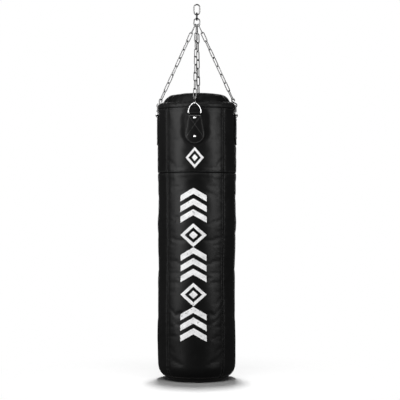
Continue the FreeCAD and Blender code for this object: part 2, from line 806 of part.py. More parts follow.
def filling(doc, s):
    """The packed textile core, which fills the bag inside its foam."""
    body = new_body(doc, "textile_filling")
    gap = s["layer_gap"]
    outer = s["bag_radius"] - s["foam_depth"] - s["foam_thickness"] - gap
    low = s["base_z"] + s["foam_depth"] + s["base_foam_thickness"] + gap
    under_lid = s["lid_foam_depth"] + s["foam_thickness"] + gap
    crown, start, edge, arc, shoulder = dome(s, under_lid)
    shoulder_z = s["top_seam_z"] - s["filling_drop"]
    bend_z = s["base_z"] + s["corner_radius"] + s["foam_base_room"]
    revolve(body, "textile_filling_core", [
        (0, low), (s["base_foam_radius"] + s["base_foam_room"], low), (outer, bend_z),
        (outer, shoulder_z), (edge[0], shoulder_z), edge, (*start, shoulder, 1), (*crown, arc, 1),
    ])
    return body


# ---------------------------------------------------------------- the whole bag

def build(doc):
    s = dimension_sheet(doc)
    nodes, ring_z = upper_links(doc, s)
    link = link_pattern(doc, s, ring_z)
    doc.recompute()
    for side in SIDES:
        nodes += chain_leg(doc, s, link, ring_z, side)
        nodes += [d_ring(doc, s, side), tab(doc, s, side), rivets(doc, s, side)]
        nodes += [upper_panel(doc, s, side), lower_panel(doc, s, side)]
    nodes += [collar(doc, s), bottom_panel(doc, s)]
    nodes += [lid_half(doc, s, "lid_front", 0), lid_half(doc, s, "lid_back", 2 * QUARTER)]
    tape_offset = (s["tape_width"] / 2 + s["tape_apart"]).value
    for label, offset in (("zip_tape_front", -tape_offset), ("zip_tape_back", tape_offset)):
        nodes.append(arc_strip(doc, s, label, s["tape_depth"], s["tape_thickness"],
                               s["zip_half"], s["tape_width"], offset))
    nodes.append(arc_strip(doc, s, "zip_teeth", s["teeth_depth"], s["teeth_thickness"],
                           as_size(STOP_X - STOP_SIZE[0]), s["teeth_width"], 0))
    nodes += [zip_stops(doc, s), zip_slider(doc, s), zip_pull(doc, s)]
    nodes += [lining(doc, s), foam_sleeve(doc, s), base_foam(doc, s), lid_foam(doc, s), filling(doc, s)]
    doc.recompute()
    return nodes


def check(doc, nodes):
    """Stops with the names of features that failed or nodes with no sound solid."""
    failed = [o.Label for o in doc.Objects if {"Invalid", "Error"} & set(o.State)]
    unsound = [n.Label for n in nodes
               if n.Shape.isNull() or not n.Shape.isValid() or n.Shape.Volume <= 0]
    if failed or unsound:
        raise SystemExit(f"failed features {failed}, unsound nodes {unsound}")


def main():
    os.makedirs(OUT, exist_ok=True)
    doc = FreeCAD.newDocument("heavy_bag")
    nodes = build(doc)
    check(doc, nodes)
    for node in nodes:
        node.Shape.exportStep(os.path.join(OUT, node.Label + ".step"))
        print(node.Label, len(node.Shape.Solids), "solids", round(node.Shape.Volume / 1000, 2), "cm3")


main()
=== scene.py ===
"""Looks for the hanging heavy bag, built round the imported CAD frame. Metres, seeded throughout."""
import math

import bmesh
import bpy
import numpy as np
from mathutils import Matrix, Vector


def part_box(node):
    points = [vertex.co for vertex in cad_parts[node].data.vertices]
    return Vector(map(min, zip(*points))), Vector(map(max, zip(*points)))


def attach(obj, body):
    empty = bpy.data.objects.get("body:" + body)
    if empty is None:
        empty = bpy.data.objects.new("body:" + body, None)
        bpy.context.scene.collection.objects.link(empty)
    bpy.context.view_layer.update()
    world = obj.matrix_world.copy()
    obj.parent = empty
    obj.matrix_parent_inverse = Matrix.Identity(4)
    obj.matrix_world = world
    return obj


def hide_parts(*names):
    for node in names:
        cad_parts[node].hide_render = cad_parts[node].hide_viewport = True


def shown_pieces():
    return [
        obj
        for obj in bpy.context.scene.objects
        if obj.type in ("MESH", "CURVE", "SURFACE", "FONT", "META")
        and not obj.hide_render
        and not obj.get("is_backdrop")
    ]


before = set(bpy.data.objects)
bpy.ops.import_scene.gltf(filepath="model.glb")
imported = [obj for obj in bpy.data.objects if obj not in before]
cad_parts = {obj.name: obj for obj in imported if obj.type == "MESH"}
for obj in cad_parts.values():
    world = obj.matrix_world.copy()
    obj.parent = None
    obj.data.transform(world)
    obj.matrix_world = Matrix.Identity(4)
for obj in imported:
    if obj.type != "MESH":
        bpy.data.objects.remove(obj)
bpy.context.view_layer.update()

MM = 0.001
TAU = 2 * math.pi
QUARTER = TAU / 4
SIDES = {"right": 0.0, "back": 90.0, "left": 180.0, "front": 270.0}   # degrees about Z


def top(node):
    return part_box(node)[1].z


def low(node):
    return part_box(node)[0].z


def reach(node):
    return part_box(node)[1].x


# ---------------------------------------------------------------- sizes of the bag

SEAM_GAP = 0.4 * MM
LEATHER = 2.2 * MM                              # thickness
CORNER = 70 * MM                                # radius of the lower edge
RADIUS = reach("upper_panel_right")
TOP_SEAM = top("upper_panel_front") + SEAM_GAP / 2
MID_SEAM = (low("upper_panel_front") + top("lower_panel_front")) / 2
BASE = low("bottom_panel")
BASE_SEAM_RADIUS = reach("bottom_panel") + SEAM_GAP / 2
# distances down the wall from the top seam, round the lower edge and along the underside to its middle
MID_S = TOP_SEAM - MID_SEAM
STRAIGHT = TOP_SEAM - (BASE + CORNER)
TO_BASE_SEAM = STRAIGHT + CORNER * math.acos((BASE_SEAM_RADIUS - RADIUS + CORNER) / CORNER)
TO_MIDDLE = STRAIGHT + CORNER * QUARTER + RADIUS - CORNER
SEAMS = [math.radians(a) for a in (45, 135, 225, 315)]
STITCH_IN = 6.5 * MM                            # stitch rows, from their seam
FINE, FINE_REACH = 0.9 * MM, 9 * MM             # mesh size beside a seam, and how far it goes


# ---------------------------------------------------------------- mesh helpers

def mesh_piece(name, points, faces, material):
    """A smooth mesh object from points and faces."""
    mesh = bpy.data.meshes.new(name)
    faces = [tuple(map(int, face)) for face in faces]
    mesh.from_pydata(np.asarray(points, float).reshape(-1, 3).tolist(), [], faces)
    mesh.materials.append(material)
    mesh.polygons.foreach_set("use_smooth", [True] * len(mesh.polygons))
    mesh.update()
    piece = bpy.data.objects.new(name, mesh)
    bpy.context.scene.collection.objects.link(piece)
    return piece


def weld(piece, near=1e-5):
    """Merges points that lie together, and turns the faces outward."""
    bm = bmesh.new()
    bm.from_mesh(piece.data)
    bmesh.ops.remove_doubles(bm, verts=bm.verts, dist=near)
    bmesh.ops.recalc_face_normals(bm, faces=bm.faces)
    bm.to_mesh(piece.data)
    bm.free()
    return piece


def grid_faces(rows, cols, start=0, closed=False, flip=False):
    """Quads over a grid of points, wrapped round the columns if it is closed."""
    last = cols if closed else cols - 1
    i, j = np.meshgrid(np.arange(rows - 1), np.arange(last), indexing="ij")
    a = start + i * cols + j
    b = start + i * cols + (j + 1) % cols
    quads = np.stack([a, b, b + cols, a + cols], -1).reshape(-1, 4)
    return quads[:, ::-1] if flip else quads


def slab(name, outer, inner, material):
    """A closed sheet from its two faces: grids of points, with rows down and columns to the right."""
    rows, cols, _ = outer.shape
    n = rows * cols
    border = np.concatenate([
        np.arange(cols), np.arange(1, rows) * cols + cols - 1,
        (rows - 1) * cols + np.arange(cols - 2, -1, -1), np.arange(rows - 2, 0, -1) * cols])
    after = np.roll(border, -1)
    rim = np.stack([border, after, after + n, border + n], -1)
    faces = np.concatenate([grid_faces(rows, cols, flip=True), grid_faces(rows, cols, n), rim])
    return mesh_piece(name, np.concatenate([outer.reshape(-1, 3), inner.reshape(-1, 3)]), faces, material)


def lathe(name, loop, around, material, place):
    """A closed ring swept round Z: place(angles, point) puts one point of its profile."""
    angles = np.arange(around) * TAU / around
    points = np.stack([place(angles, point) for point in [*loop, loop[0]]])
    return weld(mesh_piece(name, points, grid_faces(len(points), around, closed=True), material))


def disc_sheet(name, rings, place, place_under, material, around=160):
    """A closed round sheet. place(angles, ring) puts each face; the last ring is the middle."""
    theta = np.arange(around) * TAU / around
    points, faces, start = [], [], 0
    for put, flip in ((place, True), (place_under, False)):
        points += [put(theta, ring) for ring in rings[:-1]]
        points.append(put(np.zeros(1), rings[-1]))
        middle = start + (len(rings) - 1) * around
        faces += grid_faces(len(rings) - 1, around, start, closed=True, flip=flip).tolist()
        for j in range(around):
            fan = (middle - around + j, middle - around + (j + 1) % around, middle)
            faces.append(fan[::-1] if flip else fan)
        start = middle + 1
    shift = start // 2
    faces += [(j, (j + 1) % around, (j + 1) % around + shift, j + shift) for j in range(around)]
    return weld(mesh_piece(name, np.concatenate(points), faces, material))


def joined(name, pieces):
    """One object out of several."""
    meshes, shift, points, faces = [p.data for p in pieces], 0, [], []
    for mesh in meshes:
        co = np.zeros(len(mesh.vertices) * 3)
        mesh.vertices.foreach_get("co", co)
        points.append(co.reshape(-1, 3))
        faces += [tuple(v + shift for v in p.vertices) for p in mesh.polygons]
        shift += len(mesh.vertices)
    whole = mesh_piece(name, np.concatenate(points), faces, meshes[0].materials[0])
    for piece in pieces:
        bpy.data.objects.remove(piece)
    return whole


def add(piece, stands_for=None):
    """Puts a finished piece on the bag, and hides the CAD node it stands for."""
    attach(piece, "bag")
    if stands_for:
        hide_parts(stands_for)
    return piece


# ---------------------------------------------------------------- shape helpers

def polar(r, theta, z):
    """Points from a radius, an angle about Z and a height."""
    return np.stack(np.broadcast_arrays(r * np.cos(theta), r * np.sin(theta), z), -1)


def spread(start, end, step, fine=None, near=0.0):
    """Positions from start to end about step apart, and closer at both ends."""
    if not fine:
        return np.linspace(start, end, max(2, math.ceil((end - start) / step) + 1))
    ends = np.linspace(0, near, math.ceil(near / fine) + 1)
    count = max(2, math.ceil((end - start - 2 * near) / step) + 1)
    middle = np.linspace(start + near, end - near, count)
    return np.concatenate([start + ends[:-1], middle, (end - ends[::-1])[1:]])


def ripple(seed, waves, around, along):
    """A smooth seeded field over the bag, about 1 high: waves round it and waves per metre down it."""
    r = np.random.default_rng(seed)
    turns = r.integers(around[0], around[1] + 1, waves) * r.choice([-1, 1], waves)
    down = r.uniform(along[0], along[1], waves) * TAU
    phase, size = r.uniform(0, TAU, waves), r.normal(0, 1, waves)

    def field(theta, s):
        total = 0
        for k in range(waves):
            total = total + size[k] * np.cos(turns[k] * theta + down[k] * s + phase[k])
        return total / math.sqrt(waves / 2)
    return field


def smooth(x, low_end, high_end):
    """0 below low_end, 1 above high_end, and a smooth step between them."""
    t = np.clip((x - low_end) / (high_end - low_end), 0, 1)
    return t * t * (3 - 2 * t)


def bell(x, width):
    return np.exp(-(x / width) ** 2)


def length_along(line):
    """Distance along a line of points, at each of them."""
    return np.concatenate([[0], np.cumsum(np.linalg.norm(np.diff(line, axis=0), axis=1))])


def finer(line, pieces):
    """A closed line with points added on a smooth curve through it."""
    out = []
    for k in range(len(line)):
        a, b, c, d = (line[(k + i - 1) % len(line)] for i in range(4))
        square, cube = 2 * a - 5 * b + 4 * c - d, 3 * b - a - 3 * c + d
        for t in np.arange(pieces) / pieces:
            out.append(0.5 * (2 * b + (c - a) * t + square * t * t + cube * t ** 3))
    return np.array(out)


# ---------------------------------------------------------------- materials

def grey(shade):
    return (shade, shade, shade)


class Finish:
    """A procedural material: its shader, and short ways to add nodes in object coordinates."""

    def __init__(self, name, colour, roughness, **sockets):
        self.mat = bpy.data.materials.new(name)
        self.mat.use_nodes = True
        self.tree = self.mat.node_tree
        self.tree.nodes.clear()
        self.out = self.tree.nodes.new("ShaderNodeOutputMaterial")
        self.shader = self.tree.nodes.new("ShaderNodeBsdfPrincipled")
        self.tree.links.new(self.shader.outputs[0], self.out.inputs["Surface"])
        self.place = self.tree.nodes.new("ShaderNodeTexCoord").outputs["Object"]
        self.shader.inputs["Base Color"].default_value = (*colour, 1)
        self.shader.inputs["Roughness"].default_value = roughness
        for key, value in sockets.items():
            self.shader.inputs[key.replace("_", " ")].default_value = value
        self.height = None

    def put(self, kind, sockets=None, **settings):
        """Adds a node, links or sets its inputs, and sets its own properties."""
        node = self.tree.nodes.new(kind)
        for key, value in settings.items():
            setattr(node, key, value)
        for key, value in (sockets or {}).items():
            if isinstance(value, bpy.types.NodeSocket):
                self.tree.links.new(value, node.inputs[key])
            else:
                node.inputs[key].default_value = value
        return node

    def stretched(self, scale):
        return self.put("ShaderNodeMapping", {"Vector": self.place, "Scale": scale}).outputs[0]

    def noise(self, scale, detail=3.0, rough=0.55, where=None):
        sockets = {"Vector": where or self.place, "Scale": scale, "Detail": detail, "Roughness": rough}
        return self.put("ShaderNodeTexNoise", sockets).outputs["Fac"]

    def cells(self, scale):
        return self.put("ShaderNodeTexVoronoi", {"Vector": self.place, "Scale": scale}).outputs["Distance"]

    def remap(self, value, low_in, high_in, low_out=0.0, high_out=1.0):
        sockets = {"Value": value, "From Min": low_in, "From Max": high_in,
                   "To Min": low_out, "To Max": high_out}
        return self.put("ShaderNodeMapRange", sockets).outputs[0]

    def sums(self, kind, a, b):
        return self.put("ShaderNodeMath", {0: a, 1: b}, operation=kind).outputs[0]

    def colour(self, factor, first, second):
        """A mix of two colours."""
        mix = self.put("ShaderNodeMix", data_type="RGBA")
        self.tree.links.new(factor, mix.inputs["Factor"])
        for socket, value in (("A", first), ("B", second)):
            target = [i for i in mix.inputs if i.name == socket and i.type == "RGBA"][0]
            if isinstance(value, bpy.types.NodeSocket):
                self.tree.links.new(value, target)
            else:
                target.default_value = (*value, 1)
        return [o for o in mix.outputs if o.type == "RGBA"][0]

    def drive(self, socket, value):
        self.tree.links.new(value, self.shader.inputs[socket])

    def bump(self, height, depth, strength):
        """Adds a bump on top of those that are there."""
        sockets = {"Height": height, "Distance": depth, "Strength": strength}
        if self.height:
            sockets["Normal"] = self.height
        self.height = self.put("ShaderNodeBump", sockets).outputs[0]
        self.drive("Normal", self.height)


def leather(name, shade, roughness=0.41, grain=620.0, specular=0.36):
    """Black synthetic leather: pebbled grain, scuffs, and a little unevenness in its colour and gloss."""
    f = Finish(name, grey(shade), roughness, Specular_IOR_Level=specular)
    pebbles = f.cells(grain)
    fine = f.noise(grain * 2.4, 2.0)
    broad = f.noise(9.0, 4.0)
    scuffs = f.remap(f.noise(55.0, 6.0, 0.7, f.stretched((1.0, 1.0, 0.35))), 0.56, 0.80, 0.0, 0.5)
    base = f.colour(f.remap(broad, 0.3, 0.7), grey(shade * 0.82), (shade * 1.18, shade * 1.18, shade * 1.22))
    f.drive("Base Color", f.colour(scuffs, base, grey(shade * 1.9)))
    uneven = f.remap(broad, 0.3, 0.7, roughness - 0.035, roughness + 0.035)
    f.drive("Roughness", f.sums("ADD", uneven, f.sums("MULTIPLY", scuffs, 0.12)))
    f.bump(f.noise(34.0, 3.0), 0.5 * MM, 0.35)
    f.bump(f.sums("ADD", pebbles, f.sums("MULTIPLY", fine, 0.35)), 0.16 * MM, 0.45)
    return f.mat


def metal(name, shade, roughness, tarnish=0.25, blue=1.0):
    """Plated steel: drawn-wire streaks, faint tarnish and pitting."""
    tint = (shade, shade, shade * blue)
    f = Finish(name, tint, roughness, Metallic=1.0)
    broad = f.noise(160.0, 5.0, 0.65)
    pits = f.remap(f.noise(900.0, 2.0), 0.62, 0.8)
    dull = f.remap(broad, 0.42, 0.72, 0.0, tarnish)
    f.drive("Base Color", f.colour(dull, tint, (shade * 0.55, shade * 0.53, shade * 0.5)))
    streaks = f.remap(broad, 0.35, 0.7, roughness * 0.8, roughness * 1.35)
    f.drive("Roughness", f.sums("ADD", streaks, f.sums("MULTIPLY", pits, 0.1)))
    f.bump(f.noise(420.0, 3.0), 0.10 * MM, 0.22)
    f.bump(pits, 0.03 * MM, 0.12)
    return f.mat


def thread(name, shade):
    """Twisted bonded thread."""
    f = Finish(name, grey(shade), 0.55, Specular_IOR_Level=0.35)
    f.drive("Base Color", f.colour(f.noise(2600.0, 2.0), grey(shade * 0.75), grey(shade * 1.2)))
    f.bump(f.cells(2100.0), 0.10 * MM, 0.6)
    return f.mat


def weave(name, colour, pitch, depth):
    """Plain woven cloth: two crossing sets of yarns."""
    f = Finish(name, colour, 0.8, Sheen_Weight=0.25)
    sockets = {"Vector": f.place, "Scale": pitch, "Distortion": 0.4, "Detail": 1.0}
    across, down = (f.put("ShaderNodeTexWave", sockets, wave_type="BANDS", bands_direction=axis)
                    for axis in "XZ")
    yarns = f.sums("MULTIPLY", across.outputs["Fac"], down.outputs["Fac"])
    dark, light = tuple(c * 0.7 for c in colour), tuple(c * 1.2 for c in colour)
    f.drive("Base Color", f.colour(f.sums("MULTIPLY", yarns, f.noise(240.0, 3.0)), dark, light))
    f.bump(yarns, depth, 0.7)
    return f.mat


def foam_finish(name, colour):
    """Open-cell foam."""
    f = Finish(name, colour, 0.9)
    holes = f.cells(420.0)
    worn = f.remap(f.noise(14.0, 4.0), 0.35, 0.7)
    f.drive("Base Color", f.colour(worn, colour, tuple(c * 0.72 for c in colour)))
    f.bump(holes, 0.8 * MM, 0.8)
    return f.mat


def rags_finish(name):
    """Shredded textile offcuts in muted colours."""
    f = Finish(name, (0.3, 0.3, 0.32), 0.92, Sheen_Weight=0.2)
    sockets = {"Vector": f.stretched((1, 1, 0.5)), "Scale": 42.0, "Randomness": 1.0}
    patches = f.put("ShaderNodeTexVoronoi", sockets).outputs["Color"]
    hue = f.put("ShaderNodeHueSaturation", {"Saturation": 0.28, "Value": 0.55, "Color": patches})
    f.drive("Base Color", hue.outputs[0])
    f.bump(f.noise(95.0, 6.0, 0.7), 3.0 * MM, 0.8)
    return f.mat


def ink_finish(name):
    """White screen print, cracked and rubbed away in places."""
    f = Finish(name, grey(0.8), 0.55, Specular_IOR_Level=0.35)
    lost = f.remap(f.noise(95.0, 7.0, 0.72), 0.60, 0.66)
    specks = f.remap(f.noise(330.0, 4.0, 0.6), 0.66, 0.71)
    gone = f.sums("MAXIMUM", lost, specks)
    stain = f.remap(f.noise(30.0, 5.0, 0.6), 0.35, 0.75)
    f.drive("Base Color", f.colour(gone, f.colour(stain, grey(0.93), (0.70, 0.70, 0.71)), grey(0.016)))
    f.drive("Roughness", f.remap(gone, 0.0, 1.0, 0.58, 0.45))
    f.bump(gone, -0.10 * MM, 0.6)
    f.bump(f.cells(620.0), 0.10 * MM, 0.35)
    return f.mat


def plastic(name, shade):
    """Moulded nylon."""
    f = Finish(name, grey(shade), 0.38, Specular_IOR_Level=0.5)
    broad = f.noise(140.0, 4.0)
    f.drive("Base Color", f.colour(broad, grey(shade * 0.8), grey(shade * 1.3)))
    f.drive("Roughness", f.remap(broad, 0.3, 0.7, 0.32, 0.46))
    f.bump(f.noise(900.0, 2.0), 0.05 * MM, 0.4)
    return f.mat


SHELL = leather("shell_leather_look", 0.008)
COLLAR = leather("collar_leather_look", 0.013, roughness=0.45)
# The lid's leather is a shade darker than the shell's: painted shade on the top of the bag, darkening it
# where the lamps light it more. Its lower specular level only dulls its gloss.
LID = leather("lid_leather_look", 0.006, roughness=0.46, specular=0.24)
TAB = leather("tab_leather_look", 0.007, roughness=0.42, grain=520.0)
THREAD_DARK = thread("thread_dark", 0.05)
THREAD_GREY = thread("thread_grey", 0.17)
THREAD_LIGHT = thread("thread_light", 0.55)
INK = ink_finish("print_ink")
CHAIN = metal("chain_zinc", 0.54, 0.22)
PLATED = metal("plated_zinc", 0.56, 0.22)
DARK_LINK = metal("dark_link_steel", 0.10, 0.38, blue=1.04)
NICKEL = metal("dring_nickel", 0.86, 0.20, tarnish=0.10)
RIVET = metal("rivet_nickel", 0.92, 0.24, tarnish=0.08)
ZIP_METAL = metal("zip_nickel", 0.55, 0.28)
TAPE = weave("zip_tape_weave", (0.012, 0.012, 0.013), 520.0, 0.15 * MM)
ZIP_PLASTIC = plastic("zip_black_plastic", 0.016)
LINING = weave("lining_weave", (0.16, 0.16, 0.17), 300.0, 0.3 * MM)
FOAM = foam_finish("grey_foam", (0.20, 0.20, 0.21))
RAGS = rags_finish("shredded_textile")


# ---------------------------------------------------------------- the stuffed skin

# A point of the skin is given by theta, its angle round the bag, and s, its distance down the wall.

def both(theta, s):
    """Angles and distances as arrays of one shape."""
    return np.broadcast_arrays(np.asarray(theta, float), np.asarray(s, float))


def wall(s):
    """Radius, height and outward direction of the bag's cut outline."""
    s = np.asarray(s, float)
    turn = np.clip((s - STRAIGHT) / CORNER, 0, QUARTER)
    flat = np.clip(s - STRAIGHT - CORNER * QUARTER, 0, None)
    r = RADIUS - CORNER + CORNER * np.cos(turn) - flat
    z = np.where(s < STRAIGHT, TOP_SEAM - s, BASE + CORNER - CORNER * np.sin(turn))
    return r, z, np.cos(turn), -np.sin(turn)


def facing(theta, s):
    """Outward direction of the wall."""
    _, _, nr, nz = wall(s)
    return polar(nr, theta, nz)


def seam_distance(theta):
    """Distance round the wall to the nearest vertical seam."""
    angles = [np.abs((np.asarray(theta) - seam + math.pi) % TAU - math.pi) for seam in SEAMS]
    return np.min(angles, axis=0) * RADIUS


AROUND, DOWN = 144, 118                         # points of the simulated grid
FRAMES = 20
CLOTH = {"quality": 5, "mass": 0.5, "tension_stiffness": 22, "compression_stiffness": 22,
         "shear_stiffness": 9, "bending_stiffness": 1.2, "use_pressure": True,
         "uniform_pressure_force": 4.0, "shrink_min": -0.018, "vertex_group_mass": "held"}
BULGE_CAP = 4.5 * MM


def simulated_skin():
    """Inflates the sewn shell with Cloth, held at its seams, and returns each grid point's bulge."""
    angles = np.arange(AROUND) * TAU / AROUND + TAU / AROUND / 2
    lengths = np.linspace(0, TO_BASE_SEAM, DOWN)
    r, z, _, _ = wall(lengths)
    start = polar(r[:, None], angles, z[:, None])
    piece = mesh_piece("skin_sim", start, grid_faces(DOWN, AROUND, closed=True, flip=True), SHELL)
    sewn_across = np.abs(lengths - MID_S) < lengths[1] * 0.6
    sewn_across[[0, -1]] = True
    sewn_down = seam_distance(angles) < TAU / AROUND * 0.6 * RADIUS
    held = np.flatnonzero(sewn_across[:, None] | sewn_down)
    piece.vertex_groups.new(name="held").add(held.tolist(), 1.0, "REPLACE")
    cloth = piece.modifiers.new("cloth", "CLOTH").settings
    for key, value in CLOTH.items():
        setattr(cloth, key, value)
    cloth.effector_weights.gravity = 0
    for number in range(1, FRAMES + 1):
        bpy.context.scene.frame_set(number)
    shape = piece.evaluated_get(bpy.context.evaluated_depsgraph_get()).to_mesh()
    end = np.zeros(len(shape.vertices) * 3)
    shape.vertices.foreach_get("co", end)
    bpy.context.scene.frame_set(1)
    bpy.data.objects.remove(piece)
    moved = end.reshape(start.shape) - start
    out = (moved * facing(angles, lengths[:, None])).sum(-1)
    return BULGE_CAP * np.tanh(out / BULGE_CAP)


BULGE = simulated_skin()


def bulge(theta, s):
    """The simulated bulge between its grid points, by cubic interpolation."""
    u = (np.asarray(theta) / TAU * AROUND - 0.5) % AROUND
    v = np.clip(np.asarray(s) / TO_BASE_SEAM, 0, 1) * (DOWN - 1)
    u0, v0 = np.floor(u).astype(int), np.floor(v).astype(int)

    def weights(t):
        return (-0.5 * t + t * t - 0.5 * t ** 3, 1 - 2.5 * t * t + 1.5 * t ** 3,
                0.5 * t + 2 * t * t - 1.5 * t ** 3, 0.5 * (t ** 3 - t * t))
    wu, wv = weights(u - u0), weights(v - v0)
    total = 0
    for i in range(4):
        row = np.clip(v0 - 1 + i, 0, DOWN - 1)
        total = total + wv[i] * sum(wu[j] * BULGE[row, (u0 - 1 + j) % AROUND] for j in range(4))
    return total


# How full the bag is over its cut size, and how far it leans to the right, in millimetres, both at
# distances down the wall.
FULLNESS = ((0, 0.8), (45, 2.4), (110, 3.2), (200, 3.4), (290, 2.0), (350, 0.4), (440, 0.3),
            (510, 2.0), (600, -0.6), (700, -3.0), (800, -1.2), (920, 0.6), (1030, 1.8), (1110, 0.4),
            (1165, -0.5), (1240, -0.3))
LEAN = ((0, 0), (300, 1.2), (450, 1.8), (650, 0.2), (800, -2.0), (950, -1.5), (1153, 0), (1240, 0))
BROAD = ripple(3, 14, (1, 5), (0.6, 3.2))
DENTS = ripple(5, 26, (4, 13), (1.5, 9.0))
CREASES = ripple(8, 30, (10, 34), (4.0, 20.0))
FADE = 30 * MM                                  # past the top seam and the straight wall, for the lumps

TAB_RADIUS = reach("tab_front")
TAB_CENTRE_Z = low("tab_front") + TAB_RADIUS
BAR_Z = low("d_ring_front") + 3 * MM            # the D-rings' straight bars, which the tabs go round
TAB_TOP_Z = BAR_Z - 4.6 * MM
RIVETS_Z = (top("tab_rivets_front") - 7 * MM, low("tab_rivets_front") + 7 * MM)
HOLD_HALF = 35 * MM                             # half the length of the line that a tab holds the skin along
HELD, FREE = 42 * MM, 68 * MM                   # how far from that line it is held, and where it is free
TAB_PULL_S = 190 * MM                           # where the skin dips below the tab's tip


def table_at(pairs, s):
    """A smooth curve through a short table."""
    x, y = np.array(pairs, float).T * MM
    i = np.clip(np.searchsorted(x, s) - 1, 0, len(x) - 2)
    return y[i] + (y[i + 1] - y[i]) * smooth(s, x[i], x[i + 1])


def side_angle(theta):
    """Signed angle to the nearest of the four tabs."""
    return (np.asarray(theta) + QUARTER / 2) % QUARTER - QUARTER / 2


def under_tab(theta, s):
    """1 where a riveted tab holds the skin to its cut size, and 0 away from it."""
    across = np.abs(side_angle(theta)) * RADIUS
    middle = TOP_SEAM - (TAB_TOP_Z + TAB_CENTRE_Z) / 2
    return 1 - smooth(np.hypot(across, np.maximum(0, np.abs(s - middle) - HOLD_HALF)), HELD, FREE)


def fullness(theta, s):
    """How far the stuffed skin stands off its cut size."""
    start, end = smooth(s, 0.0, FADE), 1 - smooth(s, STRAIGHT + FADE, TO_BASE_SEAM)
    d = table_at(FULLNESS, s) + table_at(LEAN, s) * np.cos(theta)
    d = d + end * (0.34 * bulge(theta, s) + start * (0.7 * BROAD(theta, s) + 0.15 * DENTS(theta, s)) * MM)
    d = d + end * start * 0.05 * MM * CREASES(theta, s)
    d = d - 0.8 * MM * bell(np.abs(side_angle(theta)) * RADIUS, 50 * MM) * bell(s - TAB_PULL_S, 30 * MM)
    held = under_tab(theta, s)
    return d * (1 - held) + held * 0.1 * MM


PUCKERS_DOWN = ripple(12, 22, (1, 4), (32.0, 74.0))
PUCKERS_ROUND = ripple(14, 22, (34, 80), (0.0, 6.0))


def groove(e, ridge):
    """A sewn edge: it rolls in at the seam, is pressed flat by the stitches, then swells."""
    roll = -1.7 * MM * bell(e, 1.9 * MM) - 0.5 * MM * bell(e, 5.0 * MM)
    stitched = -0.4 * MM * bell(e - STITCH_IN, 1.7 * MM)
    return roll + stitched + ridge * bell(e - 3.6 * MM, 2.6 * MM) + 0.3 * MM * bell(e - 20 * MM, 9 * MM)


def beside(e, fade):
    """How much puckers show at a distance from their seam."""
    return np.exp(-e / fade) * smooth(e, 0.5 * MM, 4 * MM)


def relief(theta, s):
    """Seams, puckers and stitch lines, over the stuffed skin."""
    side = seam_distance(theta) * wall(s)[0] / RADIUS
    over = s - MID_S
    edge = np.minimum(s, np.abs(s - TO_BASE_SEAM))
    walls = s <= TO_BASE_SEAM
    lift = groove(np.abs(over), np.where(over < 0, 0.7 * MM, 0.15 * MM)) + groove(edge, 0.2 * MM)
    lift = lift + np.where(walls, groove(side, 0.25 * MM), 0)
    lift = lift + walls * 0.26 * MM * PUCKERS_DOWN(theta, s) * beside(side, 13 * MM)
    hoop = beside(np.abs(over), 16 * MM) + 0.8 * beside(edge, 13 * MM)
    return lift + 0.24 * MM * PUCKERS_ROUND(theta, s) * hoop


def skin(theta, s, lift=0.0, seams=True):
    """Points on the bag's skin, lifted off it along its outward direction."""
    theta, s = both(theta, s)
    r, z, nr, nz = wall(s)
    d = fullness(theta, s) + lift
    if seams:
        d = d + relief(theta, s)
    return polar(r + nr * d, theta, z + nz * d)


def wall_patch(name, angle, s0, s1):
    """One leather panel between two vertical seams."""
    half = TAU / 8 * RADIUS - SEAM_GAP / 2
    across = spread(-half, half, 4.2 * MM, FINE, FINE_REACH) / RADIUS + angle
    down = spread(s0 + SEAM_GAP / 2, s1 - SEAM_GAP / 2, 4.0 * MM, FINE, FINE_REACH)
    theta, s = np.meshgrid(across, down)
    return slab(name, skin(theta, s), skin(theta, s, -LEATHER), SHELL)


for side, degrees in SIDES.items():
    for row, s0, s1 in (("upper", 0.0, MID_S), ("lower", MID_S, TO_BASE_SEAM)):
        patch = wall_patch(f"{row}_skin_{side}", math.radians(degrees), s0, s1)
        add(patch, f"{row}_panel_{side}")


def under(theta, s, lift=0.0):
    """The underside: nearly flat, with the weight pressing it down."""
    point = skin(theta, s, lift)
    point[..., 2] = np.maximum(point[..., 2], BASE - 0.6 * MM - lift)
    return point


bottom_rings = spread(TO_BASE_SEAM + SEAM_GAP / 2, TO_MIDDLE - 6 * MM, 4.5 * MM, FINE, FINE_REACH)
bottom_rings = [*bottom_rings, TO_MIDDLE]
bottom = disc_sheet("bottom_skin", bottom_rings, under, lambda t, s: under(t, s, -LEATHER), SHELL)
add(bottom, "bottom_panel")


# ---------------------------------------------------------------- stitches

ARCH = np.linspace(-1, 1, 7)                    # sections along one stitch
THREAD_SIDES = 8
SINK = 0.35 * MM                                # how deep a stitch's ends go into the leather
# length, pitch and thread radius of each kind of stitch
SEAM_STITCH = (4.2 * MM, 5.6 * MM, 0.55 * MM)
ZIP_STITCH = (3.0 * MM, 4.0 * MM, 0.4 * MM)
COLLAR_STITCH = (4.0 * MM, 5.4 * MM, 0.45 * MM)
TAB_STITCH = (3.6 * MM, 5.0 * MM, 0.5 * MM)
BAR_STITCH = (4.3 * MM, 6.0 * MM, 0.8 * MM)


